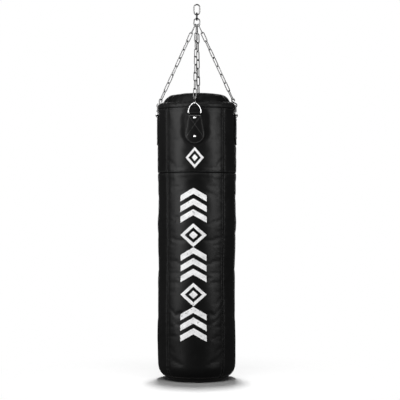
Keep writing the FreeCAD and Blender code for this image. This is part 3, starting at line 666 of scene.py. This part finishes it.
def stitches(points, out, material=THREAD_DARK, kind=SEAM_STITCH):
    """A row of separate lockstitches along a line of points; out is the surface's direction at each."""
    length, pitch, radius = kind
    along = length_along(points)
    count = max(1, int(along[-1] / pitch))
    at = ((np.arange(count) + 0.5) * along[-1] / count)[:, None] + ARCH * length / 2
    line, up = (np.stack([np.interp(at, along, values[:, k]) for k in range(3)], -1)
                for values in (points, out))
    up /= np.linalg.norm(up, axis=-1, keepdims=True)
    line = line + up * ((1 - ARCH ** 4) * (radius * 0.75 + SINK) - SINK)[None, :, None]
    ahead = np.gradient(line, axis=1)
    ahead /= np.linalg.norm(ahead, axis=-1, keepdims=True)
    side = np.cross(ahead, up)
    turn = np.arange(THREAD_SIDES)[:, None] * TAU / THREAD_SIDES
    ring = np.cos(turn) * side[:, :, None] + np.sin(turn) * np.cross(side, ahead)[:, :, None]
    size = radius * np.sqrt(np.clip(1.04 - ARCH ** 6, 0, 1))
    tubes = line[:, :, None] + ring * size[None, :, None, None]
    cap = np.array([(0, 1, 2, 3), (0, 3, 4, 7), (4, 5, 6, 7)])
    far_cap = cap[:, ::-1] + (len(ARCH) - 1) * THREAD_SIDES
    one = np.concatenate([grid_faces(len(ARCH), THREAD_SIDES, closed=True, flip=True), cap, far_cap])
    faces = [one + k * len(ARCH) * THREAD_SIDES for k in range(count)]
    return mesh_piece("row", tubes, np.concatenate(faces), material)


def wall_row(theta, s):
    return stitches(skin(theta, s), facing(*both(theta, s)))


for number, seam in enumerate(SEAMS):
    rows = []
    for side in (-1, 1):
        for s0, s1 in ((6 * MM, MID_S - 9 * MM), (MID_S + 9 * MM, TO_BASE_SEAM - 8 * MM)):
            s = np.arange(s0, s1, 1.5 * MM)
            rows.append(wall_row(seam + side * STITCH_IN / wall(s)[0], s))
    add(joined(f"seam_stitches_{number + 1}", rows))
hoop = np.linspace(0, TAU, 900)
for name, levels in (("mid_seam_stitches", (MID_S - STITCH_IN, MID_S + STITCH_IN)),
                     ("hoop_stitches", (STITCH_IN, TO_BASE_SEAM - STITCH_IN))):
    add(joined(name, [wall_row(hoop, s) for s in levels]))


# ---------------------------------------------------------------- lid

LID_TOP = top("lid_front")
LID_EDGE = reach("lid_front")
LID_HEM = low("lid_front")
LID_ARC = 600 * MM                              # radius of the crown's arc
CROWN_Z = LID_TOP + 1.6 * MM
CROWN_EDGE = 112 * MM                           # radius where the crown meets the shoulder
CROWN_LEAN = math.asin(CROWN_EDGE / LID_ARC)
CROWN_END = LID_ARC * CROWN_LEAN
SHOULDER = (LID_EDGE - CROWN_EDGE) / (1 - math.sin(CROWN_LEAN))
ZIP_HALF = reach("zip_tape_front")
SLOT = 6 * MM                                   # half the width of the lid's opening
LID_GATHERS = ripple(21, 26, (9, 30), (0.0, 6.0))
LID_FOLDS = ripple(23, 12, (1, 6), (6.0, 22.0))


def dome_at(rho):
    """Radius, height and outward direction of the lid's outline, by distance from its crown."""
    rho = np.asarray(rho, float)
    turn = np.clip((rho - CROWN_END) / SHOULDER, 0, QUARTER - CROWN_LEAN)
    skirt = np.clip(rho - CROWN_END - SHOULDER * (QUARTER - CROWN_LEAN), 0, None)
    crown = rho < CROWN_END
    a = np.where(crown, rho / LID_ARC, CROWN_LEAN + turn)
    centre_r = CROWN_EDGE - SHOULDER * math.sin(CROWN_LEAN)
    centre_z = CROWN_Z - LID_ARC + (LID_ARC - SHOULDER) * math.cos(CROWN_LEAN)
    r = np.where(crown, LID_ARC * np.sin(a), centre_r + SHOULDER * np.sin(a))
    z = np.where(crown, CROWN_Z - LID_ARC + LID_ARC * np.cos(a), centre_z + SHOULDER * np.cos(a) - skirt)
    return r, z, np.sin(a), np.cos(a)


def lid_relief(x, y, rho):
    """Gathers drawn in from the rim, slack folds, and the turned hem along the zip."""
    theta = np.arctan2(y, x)
    rim = smooth(rho, 55 * MM, 150 * MM)
    lift = rim * 0.75 * MM * LID_GATHERS(theta, rho * 0.4) + (0.3 + rim) * 0.7 * MM * LID_FOLDS(theta, rho)
    lift = lift + 1.2 * MM * bell(rho - 135 * MM, 30 * MM)
    lift = lift + 2.6 * MM * np.cos(theta) * smooth(rho, 60 * MM, 140 * MM)
    lift = lift * (1 - smooth(rho, 175 * MM, 200 * MM)) - 1.2 * MM * smooth(rho, 172 * MM, 185 * MM)
    beside_zip = np.abs(x) < ZIP_HALF + 4 * MM
    slot = np.abs(y) - SLOT
    hem = 0.9 * MM * bell(slot - 5 * MM, 4.5 * MM) - 0.5 * MM * bell(slot - 4 * MM, 1.1 * MM)
    hem = hem - 0.8 * MM * bell(slot, 1.2 * MM)
    join = -1.6 * MM * bell(y, 2.2 * MM) * (np.abs(x) >= ZIP_HALF)
    near = 1 - smooth(np.abs(y), 12 * MM, 34 * MM)
    return lift * (1 - 0.85 * near) + np.where(beside_zip, hem, join)


def lid_point(x, y, rho, lift=0.0):
    r, z, nr, nz = dome_at(rho)
    d = lid_relief(x, y, rho) + lift
    return polar(r + nr * d, np.arctan2(y, x), z + nz * d)


RHO_TABLE = np.linspace(0, 215 * MM, 1200)
R_TABLE = np.maximum.accumulate(dome_at(RHO_TABLE)[0])
RIM = LID_EDGE - 0.05 * MM


def rho_at(r):
    """Distance from the crown, by radius."""
    return np.interp(r, R_TABLE, RHO_TABLE)


RHO_RIM = float(rho_at(RIM))
RHO_HEM = RHO_RIM + float(dome_at(RHO_RIM)[1] - LID_HEM) - 2 * MM
SKIRT_ROWS = 7


def lid_half(name, sign, node):
    """Half of the lid. Its rows run from the middle out to the rim and down the skirt."""
    zip_end = np.linspace(-0.6 * MM, 0.6 * MM, 3)
    rounded = LID_EDGE * np.cos(np.linspace(0.012, 0.75, 30))
    beside_slot = np.linspace(-ZIP_HALF + 4 * MM, ZIP_HALF - 4 * MM, 60)
    columns = np.concatenate([-rounded, zip_end - ZIP_HALF, beside_slot, zip_end + ZIP_HALF, rounded])
    columns = np.unique(np.round(columns, 6))
    start = np.where(np.abs(columns) < ZIP_HALF, SLOT, 0.2 * MM)
    end = np.sqrt(np.maximum(RIM ** 2 - columns ** 2, (0.3 * MM) ** 2))
    hem_rows = np.linspace(0, 0.08, 9)[:-1]
    t = np.concatenate([hem_rows, 0.08 + 0.92 * (1 - (1 - np.linspace(0, 1, 46)) ** 1.6)])
    y = start + (end - start) * t[:, None]
    x = np.broadcast_to(columns, y.shape)
    rho = rho_at(np.hypot(x, y))
    skirt = np.linspace(RHO_RIM, RHO_HEM, SKIRT_ROWS + 1)[1:]
    x = np.concatenate([x, np.repeat(x[-1:], SKIRT_ROWS, 0)])
    y = np.concatenate([y, np.repeat(y[-1:], SKIRT_ROWS, 0)]) * sign
    rho = np.concatenate([rho, np.repeat(skirt[:, None], rho.shape[1], 1)])
    if sign > 0:
        x, y, rho = x[:, ::-1], y[:, ::-1], rho[:, ::-1]
    piece = slab(name, lid_point(x, y, rho), lid_point(x, y, rho, -LEATHER), LID)
    add(weld(piece), node)


lid_half("lid_cover_front", -1, "lid_front")
lid_half("lid_cover_back", 1, "lid_back")
rows = []
for sign in (-1, 1):
    for gap in (4 * MM, 9 * MM):
        x = np.linspace(-ZIP_HALF + 3 * MM, ZIP_HALF - 3 * MM, 160)
        y = np.full_like(x, sign * (SLOT + gap))
        rho = rho_at(np.hypot(x, y))
        _, _, nr, nz = dome_at(rho)
        rows.append(stitches(lid_point(x, y, rho), polar(nr, np.arctan2(y, x), nz), kind=ZIP_STITCH))
add(joined("zip_stitches", rows))


# ---------------------------------------------------------------- collar

# The band's profile, in millimetres out from the wall and up from the top seam.
COLLAR_LINE = ((0.2, 0), (1.2, 2.5), (2, 7.5), (1.8, 13), (0.2, 18.5), (-3.2, 23.4), (-8, 26.8),
               (-11.8, 28.6), (-14.8, 29.6), (-16.8, 28.8), (-17.6, 26.8), (-17, 24.6),
               (-14.8, 23.6), (-11.6, 21.4), (-7.6, 17), (-4.4, 11.5), (-2.6, 6), (-2.6, 0.6))
COLLAR_ROWS = (((1.8, 6.8), (1.0, 0.2)), ((-8.4, 26.4), (0.65, 0.76)))   # stitches: places and directions
GATHERS = ripple(31, 34, (14, 52), (0.0, 0.0))
SOFT_SWELL = ripple(33, 10, (2, 9), (0.0, 0.0))


def collar_point(theta, point):
    """The band's gathers and droop, and its dents where the rings lie against it."""
    r, z = np.array(point) * MM + (RADIUS, TOP_SEAM)
    up = smooth(z - TOP_SEAM, 0, 25 * MM)
    ring = bell(np.abs(side_angle(theta)) * RADIUS, 30 * MM)
    d = (0.15 + 0.45 * up) * GATHERS(theta, 0) + up * (0.5 * SOFT_SWELL(theta, 0) - 2.0 * ring)
    droop = smooth(z - TOP_SEAM, 2 * MM, 28 * MM) * (-3.4 + 2.8 * np.cos(2 * theta) + 1.0 * np.cos(theta))
    return polar(r + d * 0.8 * MM, theta, z + (droop + d * 0.6) * MM)


collar_loop = finer(np.array(COLLAR_LINE), 3)[::-1]
add(lathe("collar_wrap", collar_loop, 560, COLLAR, collar_point), "collar_band")
rows = [stitches(collar_point(hoop, point), polar(out, hoop, up), kind=COLLAR_STITCH)
        for point, (out, up) in COLLAR_ROWS]
add(joined("collar_stitches", rows))


# ---------------------------------------------------------------- tabs

TAB_TOP_HALF = 28.5 * MM
STRAP = 2.4 * MM
LOOP_HALF = 24 * MM
TAB_FACE = 5.25 * MM                            # over the skin
# The tab's rim and stitched groove, in millimetres in from its edge and over the skin.
EDGE_RINGS = ((0.0, -0.6), (0.0, 1.9), (0.45, 2.3), (0.0, 2.7), (0.05, 4.1), (0.5, 4.8), (1.3, 5.05),
              (2.4, 5.1), (3.6, 4.95), (4.3, 4.55), (5.0, 4.95), (6.2, 5.2), (8.5, 5.35))
# The strap's middle line, from under the tab and round the bar, in millimetres out from the wall and up
# from the bar.
LOOP_LINE = ((1.7, -19.6), (1.6, -10.6), (1.5, -3.6), (1.6, 1.0), (2.9, 3.5), (5.4, 4.6), (8.0, 4.2),
             (10.0, 2.4), (10.7, 0), (10.3, -2.5), (8.7, -4.8), (6.4, -7.0), (4.4, -9.6), (3.4, -12.6),
             (2.8, -17.6))


def tab_outline(inset=0.0):
    """The tab's edge, clockwise from its top left corner, as x across and z up."""
    radius = TAB_RADIUS - inset
    corner = np.array([TAB_TOP_HALF - inset * 0.9, TAB_TOP_Z - inset - TAB_CENTRE_Z])
    mirrored = corner * (-1, 1)
    start = math.atan2(corner[1], corner[0]) - math.acos(radius / np.linalg.norm(corner))
    arc = np.linspace(start, -math.pi - start, 90)
    bend = radius * np.stack([np.cos(arc), np.sin(arc)], -1)
    edge = np.concatenate([np.linspace(mirrored, corner, 28)[:-1], np.linspace(corner, bend[0], 30)[:-1],
                           bend, np.linspace(bend[-1], mirrored, 30)[1:-1]])
    for _ in range(3):                          # rounds the two top corners
        edge = (np.roll(edge, 1, 0) + 2 * edge + np.roll(edge, -1, 0)) / 4
    return edge + (0, TAB_CENTRE_Z)


def tab_lift(x, z, edge_lift):
    """Height of the tab's face over the skin, with dimples round the rivets."""
    dimple = sum(bell(np.hypot(x, z - rivet), 9 * MM) for rivet in RIVETS_Z)
    crown = 0.7 * MM * bell(x, 30 * MM) * bell(z - TAB_CENTRE_Z - 21 * MM, 40 * MM)
    return edge_lift + (crown - 0.5 * MM * dimple) * smooth(edge_lift, 5.0 * MM, 5.3 * MM)


def on_side(side, x, z, lift):
    """A point of the skin by how far across a side it is, and how high."""
    return skin(math.radians(SIDES[side]) + x / RADIUS, TOP_SEAM - z, lift, seams=False)


def tab_face(side):
    """The doubled, teardrop part of a tab."""
    rings = [(tab_outline(inset * MM), lift * MM) for inset, lift in EDGE_RINGS]
    middle, last = np.array([0, TAB_CENTRE_Z + 19 * MM]), rings[-1][0]
    rings += [(middle + (last - middle) * share, 5.4 * MM) for share in (0.85, 0.7, 0.55, 0.4, 0.25, 0.1)]
    points = [on_side(side, *ring.T, tab_lift(*ring.T, lift)) for ring, lift in rings]
    points += [on_side(side, *middle, lift)[None] for lift in (6.0 * MM, -0.6 * MM)]
    count = len(last)
    inner = (len(rings) - 1) * count
    end = inner + count
    faces = grid_faces(len(rings), count, closed=True).tolist()
    faces += [(inner + j, inner + (j + 1) % count, end) for j in range(count)]
    faces += [((j + 1) % count, j, end + 1) for j in range(count)]
    return mesh_piece("face", np.concatenate(points), faces, TAB)


def tab_loop(side):
    """The strap that goes from the tab round the ring's bar and back."""
    line = finer(np.array(LOOP_LINE) * MM + (RADIUS, BAR_Z), 4)[:-8]
    ahead = np.gradient(line, axis=0)
    ahead /= np.linalg.norm(ahead, axis=1)[:, None]
    out = np.stack([-ahead[:, 1], ahead[:, 0]], -1)
    across = np.linspace(-LOOP_HALF, LOOP_HALF, 21)
    thick = STRAP / 2 * np.sqrt(np.clip(1 - (np.abs(across) / LOOP_HALF) ** 14, 0.02, 1))
    across, thick = np.concatenate([across, -across]), np.concatenate([thick, -thick])
    on_wall = smooth(BAR_Z - line[:, 1], 2.6 * MM, 11.6 * MM)
    r = line[:, None, 0] + out[:, None, 0] * thick - (across ** 2 / 2 / RADIUS) * on_wall[:, None]
    z = line[:, None, 1] + out[:, None, 1] * thick
    turn = math.radians(SIDES[side])
    outward = np.array([math.cos(turn), math.sin(turn), 0])
    sideways = np.array([-math.sin(turn), math.cos(turn), 0])
    ribbon = r[..., None] * outward + across[None, :, None] * sideways + z[..., None] * np.array([0, 0, 1])
    count = len(across)
    faces = grid_faces(len(line), count, closed=True).tolist()
    faces += [tuple(range(count))[::-1], tuple((len(line) - 1) * count + j for j in range(count))]
    return weld(mesh_piece("loop", ribbon, faces, TAB), 1e-6)


def tab_row(side, line, material=THREAD_GREY, kind=TAB_STITCH):
    """Stitches along a line drawn on the tab's face."""
    line = np.asarray(line)
    along = length_along(line)
    at = np.arange(0, along[-1], 1 * MM)
    x, z = np.interp(at, along, line[:, 0]), np.interp(at, along, line[:, 1])
    out = facing(math.radians(SIDES[side]) + x / RADIUS, TOP_SEAM - z)
    return stitches(on_side(side, x, z, tab_lift(x, z, TAB_FACE)), out, material, kind)


for side in SIDES:
    tab = joined(f"tab_strap_{side}", [tab_face(side), tab_loop(side)])
    add(weld(tab), f"tab_{side}")
    rows = [tab_row(side, tab_outline(4.3 * MM)[26:-1])]
    for x in (-1, 1):
        cross = [(x * 25 * MM, TAB_TOP_Z - 8 * MM), (x * -36 * MM, TAB_CENTRE_Z - 11 * MM)]
        rows.append(tab_row(side, cross))
    add(joined(f"tab_stitches_{side}", rows))
    level = TAB_TOP_Z - 5.2 * MM
    row = tab_row(side, [(-26 * MM, level), (26 * MM, level)], THREAD_LIGHT, BAR_STITCH)
    row.name = f"tab_top_row_{side}"
    add(row)


# ---------------------------------------------------------------- print on the front

INK_STEP = 2.5 * MM
INK_EDGE = 0.25 * MM                            # a narrow row of faces that keeps the ink's edge crisp
INK_LIFT, INK_SINK = 0.3 * MM, -0.2 * MM
RAGGED = 0.35 * MM


def jitter(seed):
    """A seeded rough line, for the ink's edges."""
    r = np.random.default_rng(seed)
    turns, phase = r.uniform(120, 900, 10), r.uniform(0, TAU, 10)
    return lambda at: sum(np.sin(k * at + shift) / (1 + k / 300) for k, shift in zip(turns, phase)) * RAGGED


def ink_band(upper, lower, closed, seed, shift=0.0):
    """Ink between two lines with the same corners, in millimetres from the top seam, with ragged edges."""
    upper, lower = (np.array(line, float) * MM + (shift, TOP_SEAM) for line in (upper, lower))
    if closed:
        upper, lower = (np.concatenate([line, line[:1]]) for line in (upper, lower))
    counts = [max(2, int(run / INK_STEP)) for run in np.linalg.norm(np.diff(upper, axis=0), axis=1)]
    t = np.concatenate([k + np.arange(count) / count for k, count in enumerate(counts)])
    if not closed:
        first, last = (INK_EDGE / INK_STEP / count for count in (counts[0], counts[-1]))
        t = np.concatenate([[0, first], t[1:], [len(counts) - last, len(counts)]])
    corners = np.arange(len(upper))
    upper, lower = (np.stack([np.interp(t, corners, values) for values in line.T], -1)
                    for line in (upper, lower))
    out = (upper - lower) / np.linalg.norm(upper - lower, axis=-1, keepdims=True)
    rough = jitter(seed)
    upper = upper + rough(upper @ (1, 1.6))[:, None] * out
    lower = lower + rough(lower @ (1, 1.6) + 0.7)[:, None] * out
    band = np.linalg.norm(upper - lower, axis=-1).max()
    v = np.linspace(0, 1, max(3, int(band / INK_STEP)))[1:-1]
    v = np.concatenate([[0, INK_EDGE / band], v, [1 - INK_EDGE / band, 1]])[:, None, None]
    flat = upper * (1 - v) + lower * v
    if not closed:
        flat[:, :2, 0] += rough(flat[:, :1, 1])
        flat[:, -2:, 0] += rough(flat[:, -1:, 1] + 0.3)
    theta, s = math.radians(SIDES["front"]) + flat[..., 0] / RADIUS, TOP_SEAM - flat[..., 1]
    face, back = skin(theta, s, INK_LIFT), skin(theta, s, INK_SINK)
    if not closed:
        return slab("ink", face, back, INK)
    loop = np.concatenate([face, back[::-1], face[:1]])
    return mesh_piece("ink", loop, grid_faces(len(loop), len(t), closed=True), INK)


def rhombus(x_half, z_half, band, z):
    """Outer and inner lines of a hollow rhombus."""
    k = 1 - band / x_half
    tips = [(0, z_half), (x_half, 0), (0, -z_half), (-x_half, 0)]
    return [(x, z + h) for x, h in tips], [(x * k, z + h * k) for x, h in tips], True


def solid_rhombus(x_half, z_half, z):
    """Two opposite edges of a rhombus."""
    return [(0, z + z_half), (x_half, z)], [(-x_half, z), (0, z - z_half)], False


def chevron(half, rise, band, z):
    """Upper and lower lines of a chevron that points up."""
    line = [(-half, z - rise), (0, z), (half, z - rise)]
    return line, [(x, h - band) for x, h in line], False


def printed(name, shapes, seed, shift=0.0):
    inked = [ink_band(*shape, seed=seed + k, shift=shift) for k, shape in enumerate(shapes)]
    add(weld(joined(name, inked), 1e-6))


EMBLEM_Z = -224.5                               # millimetres from the top seam
COLUMN_Z = -358
CHEVRON_PITCH = 47
GROUP_GAP = 28
RHOMBUS_ROOM = 94
printed("print_emblem", [rhombus(40, 46.5, 13, EMBLEM_Z), solid_rhombus(13, 15, EMBLEM_Z)], 40)
z, column = COLUMN_Z, []
for group in range(3):
    for k in range(3):
        column.append(chevron(59, 34, 27, z))
        z -= CHEVRON_PITCH
    z -= GROUP_GAP
    if group < 2:
        column += [rhombus(59, 52, 20, z - 40), solid_rhombus(20, 18, z - 40)]
        z -= RHOMBUS_ROOM
printed("print_column", column, 60, -6 * MM)


# ---------------------------------------------------------------- zip

TAPE_DEPTH, TAPE_UNDER, TEETH_DEPTH = 3.2 * MM, 4.0 * MM, 2.0 * MM   # below the lid's arc
TOOTH_STEP = 1.55 * MM
TOOTH_OUTLINE = np.array([(-0.85, -0.5), (-0.5, -1.0), (0.5, -1.0), (0.85, -0.5),
                          (0.85, 0.5), (0.5, 1.0), (-0.5, 1.0), (-0.85, 0.5)]) * MM
TOOTH_SECTIONS = ((3.1, 0.55), (2.8, 0.9), (1.2, 0.8), (0.4, 1.0), (-0.7, 1.05), (-1.1, 0.7))   # y, size


def zip_height(x, depth):
    return LID_TOP - LID_ARC + np.sqrt((LID_ARC - depth) ** 2 - x ** 2)


for name, sign in (("front", -1), ("back", 1)):
    x = np.linspace(-ZIP_HALF, ZIP_HALF, 150)
    y = np.concatenate([np.linspace(1, 4, 7), np.linspace(4.6, 26, 16)]) * MM
    xx, yy = np.meshgrid(x, sign * y)
    cord = 0.45 * MM * bell(np.abs(yy) - 2.6 * MM, 0.8 * MM) + 0.08 * MM * np.cos(xx * TAU / (1.6 * MM))
    face = np.stack([xx, yy, zip_height(xx, TAPE_DEPTH) + cord], -1)
    under_face = np.stack([xx, yy, zip_height(xx, TAPE_UNDER)], -1)
    if sign > 0:
        face, under_face = face[:, ::-1], under_face[:, ::-1]
    add(weld(slab(f"zip_ribbon_{name}", face, under_face, TAPE)), f"zip_tape_{name}")

points, faces = [], []
count = len(TOOTH_OUTLINE)
for k, x in enumerate(np.arange(-102.5 * MM, 95.0 * MM, TOOTH_STEP)):
    start = len(points) * count
    for y, size in TOOTH_SECTIONS:
        dx, dz = TOOTH_OUTLINE.T * size
        z = zip_height(x, TEETH_DEPTH) + dz - dx * x / LID_ARC
        y = np.full(count, y * MM if k % 2 else -y * MM)
        points.append(np.stack([x + dx + dz * x / LID_ARC, y, z], -1))
    end = len(points) * count
    faces += grid_faces(len(TOOTH_SECTIONS), count, start, closed=True).tolist()
    faces += [tuple(range(start, start + count)), tuple(range(end - 1, end - count - 1, -1))]
teeth = weld(mesh_piece("zip_moulded_teeth", np.concatenate(points), faces, ZIP_PLASTIC), 1e-7)
add(teeth, "zip_teeth")


# ---------------------------------------------------------------- what is inside

LINING_FACES = (-4.9 * MM, -6.2 * MM)           # from the outer skin
SLEEVE_END = STRAIGHT - 5 * MM
FOAM_SWELL = ripple(51, 16, (2, 16), (2.0, 12.0))

lining_rings = [*spread(2 * MM, TO_MIDDLE - 8 * MM, 12 * MM), TO_MIDDLE]
faces_of_lining = (lambda t, s, lift=lift: skin(t, s, lift) for lift in LINING_FACES)
add(disc_sheet("inner_lining", lining_rings, *faces_of_lining, LINING, 240), "lining")

sleeve_s = np.linspace(5 * MM, SLEEVE_END - 2 * MM, 90)
sleeve = [(s, -6.6 * MM) for s in sleeve_s] + [(SLEEVE_END, -9 * MM), (SLEEVE_END, -19 * MM)]
sleeve += [(s, -22 * MM) for s in sleeve_s[::-1]] + [(4 * MM, -19 * MM), (4 * MM, -9 * MM)]


def sleeve_point(theta, point):
    s, lift = point
    return skin(theta, s, lift + 0.15 * MM * FOAM_SWELL(theta, s), seams=False)


add(lathe("foam_wrap", sleeve, 120, FOAM, sleeve_point), "foam_sleeve")

PAD_RADIUS = 100 * MM
PAD_TUCK = 7 * MM                               # how far its edge is rounded
PAD_CROWN = 0.8 * MM


def pad_face(level, sign):
    """One face of the round pad at the base, turned in at its edge."""
    def place(theta, r):
        edge = float(np.clip((r - PAD_RADIUS + PAD_TUCK) / PAD_TUCK, 0, 1))
        crown = PAD_CROWN * (1 - (r / PAD_RADIUS) ** 2) + 0.4 * MM * FOAM_SWELL(theta, r) * (1 - edge)
        return polar(r, theta, level + sign * (crown - PAD_TUCK * (1 - math.sqrt(1 - min(0.98, edge) ** 2))))
    return place


pad_rings = np.concatenate([np.linspace(100, 88, 8), np.linspace(82, 6, 14), [0]]) * MM
pad_faces = pad_face(top("base_foam") - 1 * MM, 1), pad_face(low("base_foam") + 1 * MM, -1)
add(disc_sheet("base_pad", pad_rings, *pad_faces, FOAM, 120), "base_foam")


def lid_pad_top(theta, rho):
    r, z, nr, nz = dome_at(rho)
    d = -10.2 * MM + 0.3 * MM * FOAM_SWELL(theta, rho)
    return polar(r + nr * d, theta, z + nz * d)


def lid_pad_under(theta, rho):
    point = lid_pad_top(theta, rho)
    level = low("lid_foam") + 0.5 * MM + 24 * MM * (1 - float(np.clip(rho / RHO_RIM, 0, 1)) ** 2)
    point[..., 2] = np.minimum(point[..., 2], level)
    return point


lid_rings = [*np.linspace(RHO_RIM - 4 * MM, 6 * MM, 36), 0]
add(disc_sheet("lid_pad", lid_rings, lid_pad_top, lid_pad_under, FOAM, 120), "lid_foam")

FILL_LOW, FILL_HIGH = low("textile_filling"), top("textile_filling")
FILL_RADIUS = reach("textile_filling") - 3.0 * MM
LUMPS = ripple(61, 40, (2, 18), (2.0, 14.0))


def filling_point(theta, t):
    """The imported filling, from the top (0) to the bottom (1)."""
    z = FILL_LOW + (FILL_HIGH - FILL_LOW) * (1 + np.cos(t * math.pi)) / 2
    rounded = math.sqrt(min((FILL_HIGH - z) / (22 * MM), 1)) * math.sqrt(min((z - FILL_LOW) / (60 * MM), 1))
    r = FILL_RADIUS * rounded + 1.1 * MM * LUMPS(theta, z) * min(rounded * 3, 1)
    return polar(np.maximum(r, 0), theta, z)


around = 120
turns = [0.004, *np.linspace(0.02, 0.98, 170), 0.996]
points = [filling_point(np.arange(around) * TAU / around, t) for t in turns]
faces = grid_faces(len(turns), around, closed=True, flip=True).tolist()
faces += [tuple(range(around)), tuple((len(turns) - 1) * around + j for j in range(around))[::-1]]
add(weld(mesh_piece("packed_textile", points, faces, RAGS)), "textile_filling")


# ---------------------------------------------------------------- carried-over metal

METAL = {"hanger_link": PLATED, "joining_link": DARK_LINK, "gathering_ring": PLATED,
         "zip_slider": ZIP_METAL, "zip_pull": ZIP_METAL, "zip_stops": ZIP_METAL}
for kind, finish in (("chain", CHAIN), ("s_hook", CHAIN), ("d_ring", NICKEL), ("tab_rivets", RIVET)):
    METAL.update({f"{kind}_{side}": finish for side in SIDES})
for node, finish in METAL.items():
    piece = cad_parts[node]
    for slot in piece.material_slots:
        slot.material = finish
    if finish == ZIP_METAL:
        piece.modifiers.new("weld", "WELD").merge_threshold = 0.01 * MM
        edge = piece.modifiers.new("edge", "BEVEL")
        edge.width, edge.segments, edge.limit_method = 0.35 * MM, 3, "ANGLE"


# ---------------------------------------------------------------- studio

FLOOR_Z = BASE - 1.5 * MM                       # the bag hangs just above it
FLOOR_RINGS = np.linspace(0, 1.2, 7)
FLOOR_SIDES = 96
FADE_FROM, FADE_TO = 0.45, 0.95                 # where the floor turns into the white background
CAMERA_TURN = math.radians(3.0)
CAMERA_AWAY = 6.0
EYE_Z = -0.886
SENSOR, LENS = 36, 118.7                        # millimetres
CAMERA_SHIFT = 0.008
FILL_LIGHT = 0.045                              # the world's light, which the camera sees as plain white

paint = Finish("floor_paint", grey(0.9), 0.9, Specular_IOR_Level=0.1)
paint.drive("Base Color", paint.colour(paint.noise(3.0, 4.0), grey(0.88), grey(0.92)))
paint.bump(paint.noise(160.0, 3.0), 0.05 * MM, 0.1)
away = paint.put("ShaderNodeVectorMath", {0: paint.stretched((1, 1, 0))}, operation="LENGTH").outputs["Value"]
glow = paint.put("ShaderNodeEmission", {"Color": (1, 1, 1, 1), "Strength": 1.0})
blend = paint.put("ShaderNodeMixShader", {
    0: paint.remap(away, FADE_FROM, FADE_TO), 1: paint.shader.outputs[0], 2: glow.outputs[0]})
paint.tree.links.new(blend.outputs[0], paint.out.inputs["Surface"])
points = [polar(r, np.arange(FLOOR_SIDES) * TAU / FLOOR_SIDES, FLOOR_Z) for r in FLOOR_RINGS]
floor = weld(mesh_piece("floor", points, grid_faces(len(points), FLOOR_SIDES, closed=True), paint.mat))
floor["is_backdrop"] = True
floor.visible_glossy = floor.visible_diffuse = False      # the floor doesn't light the bag from below


def linked(name, pieces, state="INCLUDE"):
    """A collection that says which pieces a light reaches, or with EXCLUDE which it doesn't."""
    group = bpy.data.collections.new(name)
    for piece in pieces:
        group.objects.link(piece)
    for entry in group.collection_objects:
        entry.light_linking.link_state = state
    return group


def wearing(*finishes):
    return [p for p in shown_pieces() if any(slot.material in finishes for slot in p.material_slots)]


BRIGHT = (INK, NICKEL, RIVET, ZIP_METAL, THREAD_LIGHT, THREAD_GREY, THREAD_DARK)
floor_only = linked("floor_only", [floor])
all_but_floor = linked("all_but_floor", [floor], "EXCLUDE")
not_chains = linked("not_chains", [floor] + wearing(CHAIN, PLATED, DARK_LINK), "EXCLUDE")
bright_only = linked("bright_only", wearing(*BRIGHT))


def softbox(name, turn, height, distance, size, radiance, lights=all_but_floor):
    """An area light aimed at the bag, turn degrees round from the camera; radiance is its brightness."""
    a = CAMERA_TURN + math.radians(turn)
    data = bpy.data.lights.new(name, "AREA")
    data.shape, data.size, data.size_y = "RECTANGLE", size[0], size[1]
    data.energy = radiance * math.pi * size[0] * size[1]
    light = bpy.data.objects.new(name, data)
    light.location = (distance * math.sin(a), -distance * math.cos(a), height)
    light.rotation_euler = (Vector((0, 0, EYE_Z)) - light.location).to_track_quat("-Z", "Y").to_euler()
    bpy.context.scene.collection.objects.link(light)
    light.light_linking.receiver_collection = lights


softbox("key_left", -54, -0.2, 2.6, (1.5, 2.8), 2.9)
softbox("key_right", 51, -0.25, 2.8, (0.95, 2.3), 3.6)
softbox("high_left", -42, 1.7, 1.7, (2.2, 1.2), 1.7)
softbox("back_left", -167, -0.2, 2.8, (0.9, 2.6), 1.5, not_chains)
softbox("back_right", 165, -0.2, 2.8, (0.9, 2.6), 1.3, not_chains)
softbox("overhead", 0, 2.4, 0.01, (2.4, 2.4), 0.35, not_chains)
softbox("front_card", -8, -0.5, 4.0, (2.6, 2.6), 3.8, bright_only)
softbox("back_card", 178, -0.5, 4.0, (2.6, 2.6), 2.0, bright_only)
softbox("floor_wash", 0, 2.0, 2.2, (4.0, 3.0), 1.45, floor_only)
softbox("floor_spot", 180, 8.0, 1.05, (0.6, 1.4), 330.0, floor_only)

world = bpy.data.worlds.new("studio")
world.use_nodes = True
bpy.context.scene.world = world
nodes, links = world.node_tree.nodes, world.node_tree.links
nodes.clear()
seen, fill = nodes.new("ShaderNodeBackground"), nodes.new("ShaderNodeBackground")
for background, strength in ((seen, 1.0), (fill, FILL_LIGHT)):
    background.inputs["Color"].default_value = (1, 1, 1, 1)
    background.inputs["Strength"].default_value = strength
path = nodes.new("ShaderNodeLightPath")
mix = nodes.new("ShaderNodeMixShader")
links.new(path.outputs["Is Camera Ray"], mix.inputs[0])
links.new(fill.outputs[0], mix.inputs[1])
links.new(seen.outputs[0], mix.inputs[2])
links.new(mix.outputs[0], nodes.new("ShaderNodeOutputWorld").inputs["Surface"])
bpy.context.scene.view_settings.view_transform = "Standard"
bpy.context.scene.view_settings.look = "None"

camera_data = bpy.data.cameras.new("camera")
camera_data.sensor_width, camera_data.lens = SENSOR, LENS
camera_data.shift_x = CAMERA_SHIFT
camera = bpy.data.objects.new("camera", camera_data)
camera.location = (CAMERA_AWAY * math.sin(CAMERA_TURN), -CAMERA_AWAY * math.cos(CAMERA_TURN), EYE_Z)
camera.rotation_euler = (QUARTER, 0, CAMERA_TURN)
bpy.context.scene.collection.objects.link(camera)
bpy.context.scene.camera = camera
bpy.context.view_layer.update()
